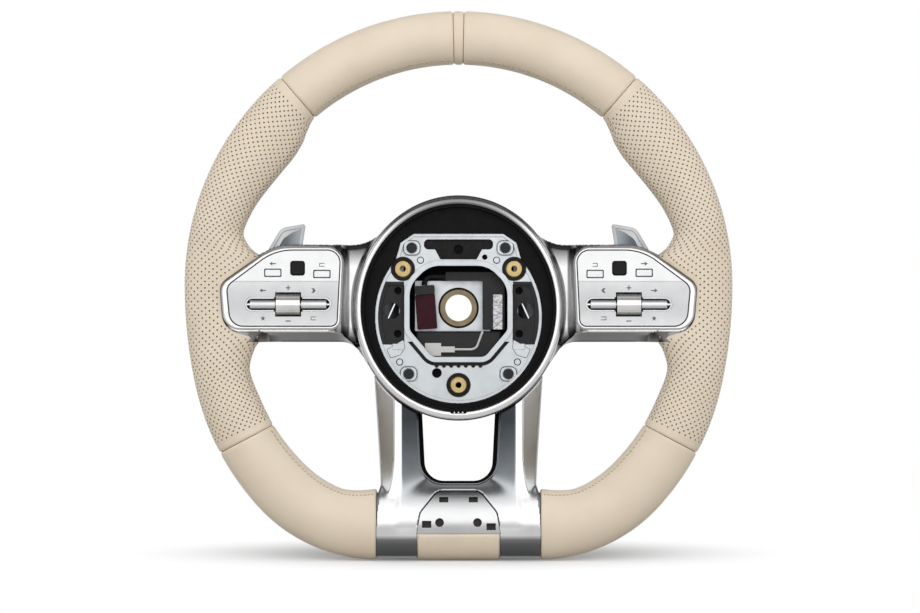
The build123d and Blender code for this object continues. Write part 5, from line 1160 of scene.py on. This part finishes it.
def painted_light_satin(name, axis, stops, tint):
    """Satin metal with painted reflections: highlights and shade as a tone running along one axis, the same
    on both sides.
    """
    made = finish_material(name, *SATIN, BAND_ROUGH, **SOFT_METAL)
    tree = made.node_tree
    split = node_of(tree, "SeparateXYZ", tree.nodes["Texture Coordinate"].outputs["Object"])
    value = split.outputs[axis]
    if axis == "X":
        value = node_of(tree, "Math", value, operation="ABSOLUTE").outputs[0]
    first, last = stops[0][0], stops[-1][0]
    scale = node_of(tree, "MapRange", value, From_Min=first * MM, From_Max=last * MM)
    ramp = node_of(tree, "ValToRGB", scale.outputs["Result"])
    shades = []
    for at, tone in stops:
        colour = [tone * (1 + (part - 1) * max(1 - tone, 0)) for part in tint]
        shades.append(((at - first) / (last - first), colour))
    fill_ramp(ramp, shades)
    base = tree.nodes["Color Ramp"].outputs["Color"]
    tinted = node_of(tree, "VectorMath", ramp.outputs["Color"], base, operation="MULTIPLY")
    tree.links.new(tinted.outputs["Vector"], tree.nodes["Principled BSDF"].inputs["Base Color"])
    return made


MATERIALS = {"leather": leather_material()}
for key, (*tones, extras) in FINISHES.items():
    MATERIALS[key] = finish_material(key, *tones, **extras)
for key, row in PAINTED_LIGHT_BANDS.items():
    MATERIALS[key] = painted_light_satin(key, *row)


def dress_nodes():
    """Each solid takes the finish of its slot."""
    for part in frame["record"]["subparts"]:
        node = frame["nodes"][part["node"]]
        node.data.materials.clear()
        node.data.materials.append(MATERIALS[NODE_FINISH.get(part["node"], part["material_slot"])])


def add_skin(node, shape, sign=1.0, holes=None):
    """A leather panel's skin in place of its solid; a grip's has holes and is cut along the arm."""
    piece = add_piece(f"skin_{node}", sided(shape, sign), "leather", stands_for=[node], sharp=None)
    if holes:
        darken_holes(piece, holes)
        cut_for_arm(piece, sign)


def add_leather():
    """The leather panels and their sewing, then the narrow top strip and the bottom centre."""
    upper, lower = length_at(UPPER_SEAM), length_at(LOWER_SEAM)
    foot = float(OUT_LENGTH[-2])
    spans = {
        "leather_top": (MARKER_HALF + SEAM_GAP, upper - SEAM_GAP),
        "leather_bottom": (lower + SEAM_GAP, foot - SEAM_GAP),
    }
    for name, span in spans.items():
        shape = tube_skin(*span)
        for side, sign in SIDES:
            add_skin(f"{name}_{side}", shape, sign)
    shape, holes = perforated_skin(upper + SEAM_GAP, lower - SEAM_GAP)
    for side, sign in SIDES:
        add_skin(f"leather_grip_{side}", shape, sign, holes)
    spans["leather_grip"] = (upper, lower)
    for name, span in spans.items():
        add_sides(f"stitching_{name}", stitches(*span), "thread", sharp=None)
    half = MARKER_HALF - SEAM_GAP
    add_skin("leather_top_marker", tube_skin(-half, half))
    add_skin("leather_bottom_center", flat_skin())


def bezel_finish(x, z):
    """Which finish a part of the bezel takes: the ring, the stretch of arm beside the ring or the bevel under
    the pod, each with painted highlights and shade, or the darker satin that paints shade on the arms' upper
    edge and on the ring's lower flank.
    """
    wide = np.abs(x)
    beyond = oval_distance(RING_A, RING_B, x, z)
    arm = beyond > 0
    beside = arm & (wide < NECK_END)
    bevel = arm & (wide >= TROUGH_X) & (arm_front_distance(wide, z) > 0) & (z < 0)
    # Painted shade: the arms' upper edge and the ring's lower outer flank
    dark = (arm & (z > POD_SHOULDER_Z)) | (~arm & (beyond > -RING_FLANK) & (z < LOWER_FLARE))
    return np.select([bevel, beside, dark], [2, 1, 3], 0)


def spoke_finish(x, z):
    """Which finish a part of the spoke takes: its ridge, its inner or outer face or its foot, with painted
    highlights and shade, or the darker satin that paints the shadow in the notch.
    """
    wide = np.abs(x)
    notch = (wide > FOOT_NOTCH_X + FOOT_NOTCH_LEAN * (FOOT_NOTCH_TOP - z)) & (z < FOOT_NOTCH_TOP)
    return np.select([notch, z < FOOT_FINISH, wide < RIDGE_INNER, wide > RIDGE_OUTER], [4, 3, 1, 2], 0)


def shade_faces(piece, finishes, which):
    """Each face takes the finish of the area its middle lies in."""
    mesh = piece.data
    for finish in finishes:
        mesh.materials.append(MATERIALS[finish])
    centre = np.zeros(3 * len(mesh.polygons))
    mesh.polygons.foreach_get("center", centre)
    x, _, z = centre.reshape(-1, 3).T / MM
    mesh.polygons.foreach_set("material_index", which(x, z).astype(np.int32))


def add_bright_trim():
    """Hub ring with its arms, and the double lower spoke."""
    bezel = joined(ring_shape(), arm_shape())
    # The ring and the arms take satin with painted highlights and shade
    piece = add_piece("bezel_skin", bezel, "ring", stands_for=["hub_bezel"])
    shade_faces(piece, ["neck", "bevel", "satin_painted_shade"], bezel_finish)
    spoke = spoke_shape()
    piece = add_piece("spoke_skin", spoke, "satin_silver", stands_for=["lower_spoke_trim"])
    # The legs and the foot carry painted reflections, and the darker satin paints the shadow in the notch
    shade_faces(piece, ["leg_inner_painted_light", "leg_outer_painted_light", "foot", "satin_painted_shade"], spoke_finish)


def add_pictograms():
    """Small generic signs on the switch panels."""
    signs = [
        (ARROW, KEY_OUTER[0], KEY_OUTER[1] + SIGN_ABOVE),
        (BLOCK, KEY_INNER[0], KEY_INNER[1] + SIGN_ABOVE),
        (ARROW, SLOT_X + SIGN_PITCH, SLOT_Z + SIGN_OFF),
        (PLUS, SLOT_X, SLOT_Z + SIGN_FAR),
        (MOON, SLOT_X - SIGN_PITCH, SLOT_Z + SIGN_OFF),
        (STAR, SLOT_X + SIGN_PITCH, SLOT_Z - SIGN_OFF),
        (DASH, SLOT_X, SLOT_Z - SIGN_FAR),
        (BLOCK, SLOT_X - SIGN_PITCH, SLOT_Z - SIGN_OFF),
    ]
    shapes = []
    for sign, x, z in signs:
        front = PANEL_FRONT + (PANEL_RAISE if z > CREASE_Z else 0.0)
        outline = np.asarray(sign) * SIGN_SCALE + np.array([x, z])
        shapes.append(prism(outline, front - SIGN_SINK, front + SIGN_RAISE))
    add_sides("signs", joined(*shapes), "mark")


def rounded_box(x, z, half_x, half_z, radius):
    """Rounded rectangle round a middle."""
    return rounded([(x + a * half_x, z + b * half_z, radius) for a, b in CORNER_WAYS])


def circle(x, z, radius, sides=CIRCLE_SIDES):
    turn = np.linspace(0, 2 * math.pi, sides, endpoint=False)
    return np.stack([np.cos(turn), np.sin(turn)], axis=-1) * radius + np.array([x, z])


def add_gap_shade():
    """Black painted shade in the gaps round the panels, the keys and the touch pads."""
    panel = pod_outline(FRAME_BAND, FRAME_END_BAND, PANEL_RADII)
    outer, inner = shrunk(panel, -PANEL_GAP - GAP_LAP), shrunk(panel, GAP_LAP)
    front = PANEL_FRONT - GAP_DROP
    shapes = [band(outer, inner, front, front - GAP_DEPTH)]
    near, far = KEY_GAP
    front = PANEL_FRONT + PANEL_RAISE - GAP_DROP
    for place, half in ((KEY_OUTER, KEY_HALF), (KEY_INNER, KEY_HALF), (TOUCH_PAD, TOUCH_PAD_HALF)):
        outer = rounded_box(*place, half[0] + far, half[1] + far, KEY_CORNER + far)
        inner = rounded_box(*place, half[0] + near, half[1] + near, KEY_CORNER)
        shapes.append(band(outer, inner, front, front - GAP_DEPTH))
    add_sides("pod_gaps_painted_shade", joined(*shapes), "painted_shade_black")


def add_slot_linings():
    """Bright lining of the rocker slot on both sides of the roller."""
    start, end = SLOT_ROLLER_GAP, SLOT_HALF_LENGTH - SLOT_HALF_HEIGHT
    outside, inside = SLOT_HALF_HEIGHT, SLOT_HALF_HEIGHT - SLOT_LINING
    arc = np.radians(np.linspace(90, -90, SLOT_ARC))
    outer, inner = (np.stack([end + r * np.cos(arc), r * np.sin(arc)], axis=-1) for r in (outside, inside))
    tips = [(start, z) for z in (outside, -outside, -inside, inside)]
    outline = np.concatenate([tips[:1], outer, tips[1:3], inner[::-1], tips[3:]])
    shapes = []
    for _, way in SIDES:
        placed = outline * np.array([way, 1.0]) + np.array([SLOT_X, SLOT_Z])
        shapes.append(prism(placed, SLOT_LINING_BACK, SLOT_LINING_FRONT))
    add_sides("slot_lining", joined(*shapes), "panel_silver")


def add_ring_mark():
    """Small dark notch in the bottom of the hub ring with three bright pins."""
    half, low, high = RING_NOTCH_HALF, RING_NOTCH_LOW, RING_NOTCH_HIGH
    places = [(-half, low), (half, low), (half, high), (-half, high)]
    outline = rounded([(x, z, radius) for (x, z), radius in zip(places, RING_NOTCH_RADII)])
    notch = prism(outline, RING_FRONT - RING_NOTCH_DEPTH, RING_FRONT + SIGN_RAISE)
    add_piece("ring_notch", notch, "black_plastic")
    pins = []
    for x in (-half / 2, 0.0, half / 2):
        dot = circle(x, (low + high) / 2, PIN_RADIUS, PIN_SIDES)
        pins.append(prism(dot, RING_FRONT - PIN_DEPTH, RING_FRONT + 2 * SIGN_RAISE))
    add_piece("ring_notch_pins", joined(*pins), "satin_silver")


def add_window_shade():
    """Black painted shade on the inward-facing wall of the opening between the lower legs, narrower towards
    the back.
    """
    outer = window_outline(WINDOW_SHADE_TOP, WINDOW_SHADE_WIDTH + WINDOW_SHADE_LIP)
    lip = window_outline(WINDOW_SHADE_TOP, WINDOW_SHADE_WIDTH)
    shape = band(outer, lip, WINDOW_SHADE_FRONT, TRIM_BACK, back_inner=window_outline(WINDOW_SHADE_TOP))
    add_piece("window_painted_shade", shape, "painted_shade_black")


def add_paddle_facets():
    """Recessed face of each paddle inside its raised band, darkened with painted shade that runs across it.
    """
    shape = prism(rounded(PADDLE_FACET), PADDLE_FRONT - SIGN_SINK, PADDLE_FRONT + SIGN_RAISE)
    for side, sign in SIDES:
        name = f"paddle_facet_{side}"
        add_piece(name, sided(shape, sign), "facet_painted_shade", body=f"paddle_{side}")


def add_foil():
    """Silver foil over the socket right of the hub bush."""
    low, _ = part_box("foil_socket")
    front = -low[1] / MM
    outline = rounded_box(FOIL_X, FOIL_Z, *FOIL_HALF, FOIL_CORNER)
    shape = prism(outline, front - SIGN_SINK, front + FOIL_RAISE, FOIL_RAISE / 2)
    add_piece("foil_strip", shape, "foil")


def carrier_x(z, inset):
    """Half width of the carrier's oval at a height."""
    return (CARRIER_A - inset) * np.sqrt(1 - ((z - CARRIER_Z) / (CARRIER_B - inset)) ** 2)


def add_side_plates():
    """Dark plates round the carrier's two side openings."""
    rise = np.linspace(SIDE_PLATE_TOP, SIDE_PLATE_BOTTOM, SIDE_PLATE_STEPS)
    fall = np.linspace(OPENING_BOTTOM, OPENING_TOP, SIDE_PLATE_STEPS)
    outer = np.stack([carrier_x(rise, FLANGE), rise], axis=-1)
    inner = np.stack([carrier_x(fall, 2 * FLANGE), fall], axis=-1)
    tips = [(BORDER_EDGE, z) for z in (SIDE_PLATE_TOP, SIDE_PLATE_BOTTOM, OPENING_BOTTOM, OPENING_TOP)]
    outline = np.concatenate([tips[:1], outer, tips[1:3], inner, tips[3:]])
    shape = prism(outline, CARRIER_FRONT - SIGN_SINK, CARRIER_FRONT + SIDE_PLATE_RAISE)
    add_sides("side_plate", shape, "charcoal")


def add_carrier_folds():
    """Low raised folds at the lower corners of the carrier."""
    shape = prism(rounded(FOLD), CARRIER_FRONT - SIGN_SINK, CARRIER_FRONT + FOLD_RAISE, FOLD_RAISE / 3)
    add_sides("carrier_fold", shape, "cast_metal")


def add_carrier_edge_shade():
    """Dark lines of painted shade along the edges of the bumper plates, the folds and the rivets."""
    lines = []
    for place in BUMPERS:
        plate = rounded_box(*place, *BUMPER_PLATE)
        lines.append(band(plate, shrunk(plate, EDGE_SHADE_WIDTH), CARRIER_FRONT + EDGE_SHADE_RAISE, CARRIER_FRONT))
    fold = rounded(FOLD)
    line = band(fold, shrunk(fold, EDGE_SHADE_WIDTH), CARRIER_FRONT + FOLD_RAISE / 2, CARRIER_FRONT)
    lines += [sided(line, sign) for _, sign in SIDES]
    for place in RIVETS:
        outer, inner = circle(*place, RIVET_RADIUS + EDGE_SHADE_WIDTH), circle(*place, RIVET_RADIUS)
        lines.append(band(outer, inner, CARRIER_FRONT + SIDE_PLATE_RAISE, CARRIER_FRONT - SIGN_SINK))
    add_piece("carrier_edge_shade", joined(*lines), "painted_shade_black")


def add_bush_steps():
    """Raised steps on the three brass bushes."""
    steps = []
    for place in BUSHES:
        for large, small, raise_by in BUSH_STEPS:
            outer, inner = circle(*place, large), circle(*place, small)
            steps.append(band(outer, inner, BRASS_FRONT + raise_by, BRASS_FRONT - SIGN_SINK))
    add_piece("bush_steps", joined(*steps), "brass")


def add_hub_shade():
    """Black sheets of painted shade behind the carrier's holes and round the hub plate."""
    shade_sheets = [prism(circle(x, z, radius), level - SHADE_SHEET_THICKNESS, level) for x, z, radius, level in HOLE_SHADES]
    for left, right, bottom, top in PLATE_SHADES:
        outline = [(left, bottom), (right, bottom), (right, top), (left, top)]
        shade_sheets.append(prism(outline, HUB_PLATE_FRONT - SIGN_SINK, HUB_PLATE_FRONT + SHADE_SHEET_THICKNESS))
    add_piece("hub_painted_shade", joined(*shade_sheets), "painted_shade_black")


def seen_rays(tree):
    """One for camera, glossy and transmission rays."""
    ray = node_of(tree, "LightPath")
    total = ray.outputs["Is Camera Ray"]
    for kind in ("Is Glossy Ray", "Is Transmission Ray"):
        total = node_of(tree, "Math", total, ray.outputs[kind], operation="MAXIMUM").outputs[0]
    return total


def add_stage():
    """White floor: plain near the wheel, where the shadow falls, bright as the background further out."""
    mesh = bpy.data.meshes.new("floor")
    corners = [(a * FLOOR_REACH, b * FLOOR_REACH, FLOOR_Z * MM) for a, b in CORNER_WAYS]
    mesh.from_pydata(corners, [], [(0, 1, 2, 3)])
    floor = add_object("floor", mesh)
    made = bpy.data.materials.new("floor_white")
    made.use_nodes = True
    tree = made.node_tree
    tree.nodes.clear()
    shown = seen_rays(tree)
    bounce = node_of(tree, "BsdfDiffuse", Color=FLOOR_BOUNCE)
    pale = node_of(tree, "BsdfDiffuse", Color=FLOOR_PALE)
    plain = node_of(tree, "MixShader", shown, bounce.outputs[0], pale.outputs[0])
    bright = node_of(tree, "Emission", Color=WHITE, Strength=1.0)
    place = node_of(tree, "TexCoord")
    flat = node_of(tree, "Mapping", place.outputs["Object"], Scale=FLOOR_SPREAD)
    away = node_of(tree, "VectorMath", flat.outputs["Vector"], operation="LENGTH")
    near, far = FLOOR_FADE
    mask = node_of(tree, "MapRange", away.outputs["Value"], From_Min=near, From_Max=far)
    mask.interpolation_type = "SMOOTHSTEP"
    share = node_of(tree, "Math", mask.outputs["Result"], shown, operation="MULTIPLY")
    both = node_of(tree, "MixShader", share.outputs[0], plain.outputs[0], bright.outputs[0])
    node_of(tree, "OutputMaterial", both.outputs[0])
    mesh.materials.append(made)


def add_world():
    """Studio as it is seen, grey bands in front and white behind, and a plain light for the rest."""
    world = bpy.data.worlds.new("studio")
    bpy.context.scene.world = world
    world.use_nodes = True
    tree = world.node_tree
    tree.nodes.clear()
    axis = node_of(tree, "SeparateXYZ", node_of(tree, "TexCoord").outputs["Generated"])
    scale = node_of(tree, "MapRange", axis.outputs["Y"], From_Min=-1.0, From_Max=1.0)
    ramp = node_of(tree, "ValToRGB", scale.outputs["Result"])
    fill_ramp(ramp, [(position, (value, value, value)) for position, value in WORLD_STOPS])
    low, high = WORLD_DIM
    height = node_of(
        tree, "MapRange", axis.outputs["Z"], From_Min=low, From_Max=high, To_Min=1.0, To_Max=WORLD_TOP
    )
    share = height.outputs["Result"]
    dim = node_of(tree, "VectorMath", ramp.outputs["Color"], operation="SCALE", Scale=share)
    shown = node_of(tree, "Background", dim.outputs["Vector"])
    ambient = node_of(tree, "Background", Color=WHITE, Strength=AMBIENT)
    both = node_of(tree, "MixShader", seen_rays(tree), ambient.outputs[0], shown.outputs[0])
    node_of(tree, "OutputWorld", both.outputs[0])


def add_lamp(name, place, size, brightness):
    """Soft lamp aimed at the wheel; its brightness is that of a white card's."""
    lamp = bpy.data.lights.new(name, "AREA")
    lamp.shape = "RECTANGLE"
    lamp.size, lamp.size_y = size
    lamp.energy = brightness * math.pi * size[0] * size[1]
    thing = add_object(name, lamp)
    thing.location = place
    thing.rotation_euler = (-Vector(place)).to_track_quat("-Z", "Y").to_euler()


def add_camera():
    data = bpy.data.cameras.new("camera")
    data.lens = CAMERA_LENS
    data.sensor_width = CAMERA_SENSOR
    camera = add_object("camera", data)
    x, z = CAMERA_AIM
    camera.location = (x * MM, -(CAMERA_DISTANCE + RIM_LEVEL * MM), z * MM)
    camera.rotation_euler = (math.pi / 2, 0, 0)
    bpy.context.scene.camera = camera


add_camera()
dress_nodes()
add_leather()
add_bright_trim()
add_pictograms()
add_gap_shade()
add_slot_linings()
add_ring_mark()
add_window_shade()
add_paddle_facets()
add_foil()
add_side_plates()
add_carrier_folds()
add_carrier_edge_shade()
add_bush_steps()
add_hub_shade()
add_stage()
add_world()
for name, settings in LAMPS.items():
    add_lamp(name, *settings)

bpy.context.scene.view_settings.view_transform = "Standard"
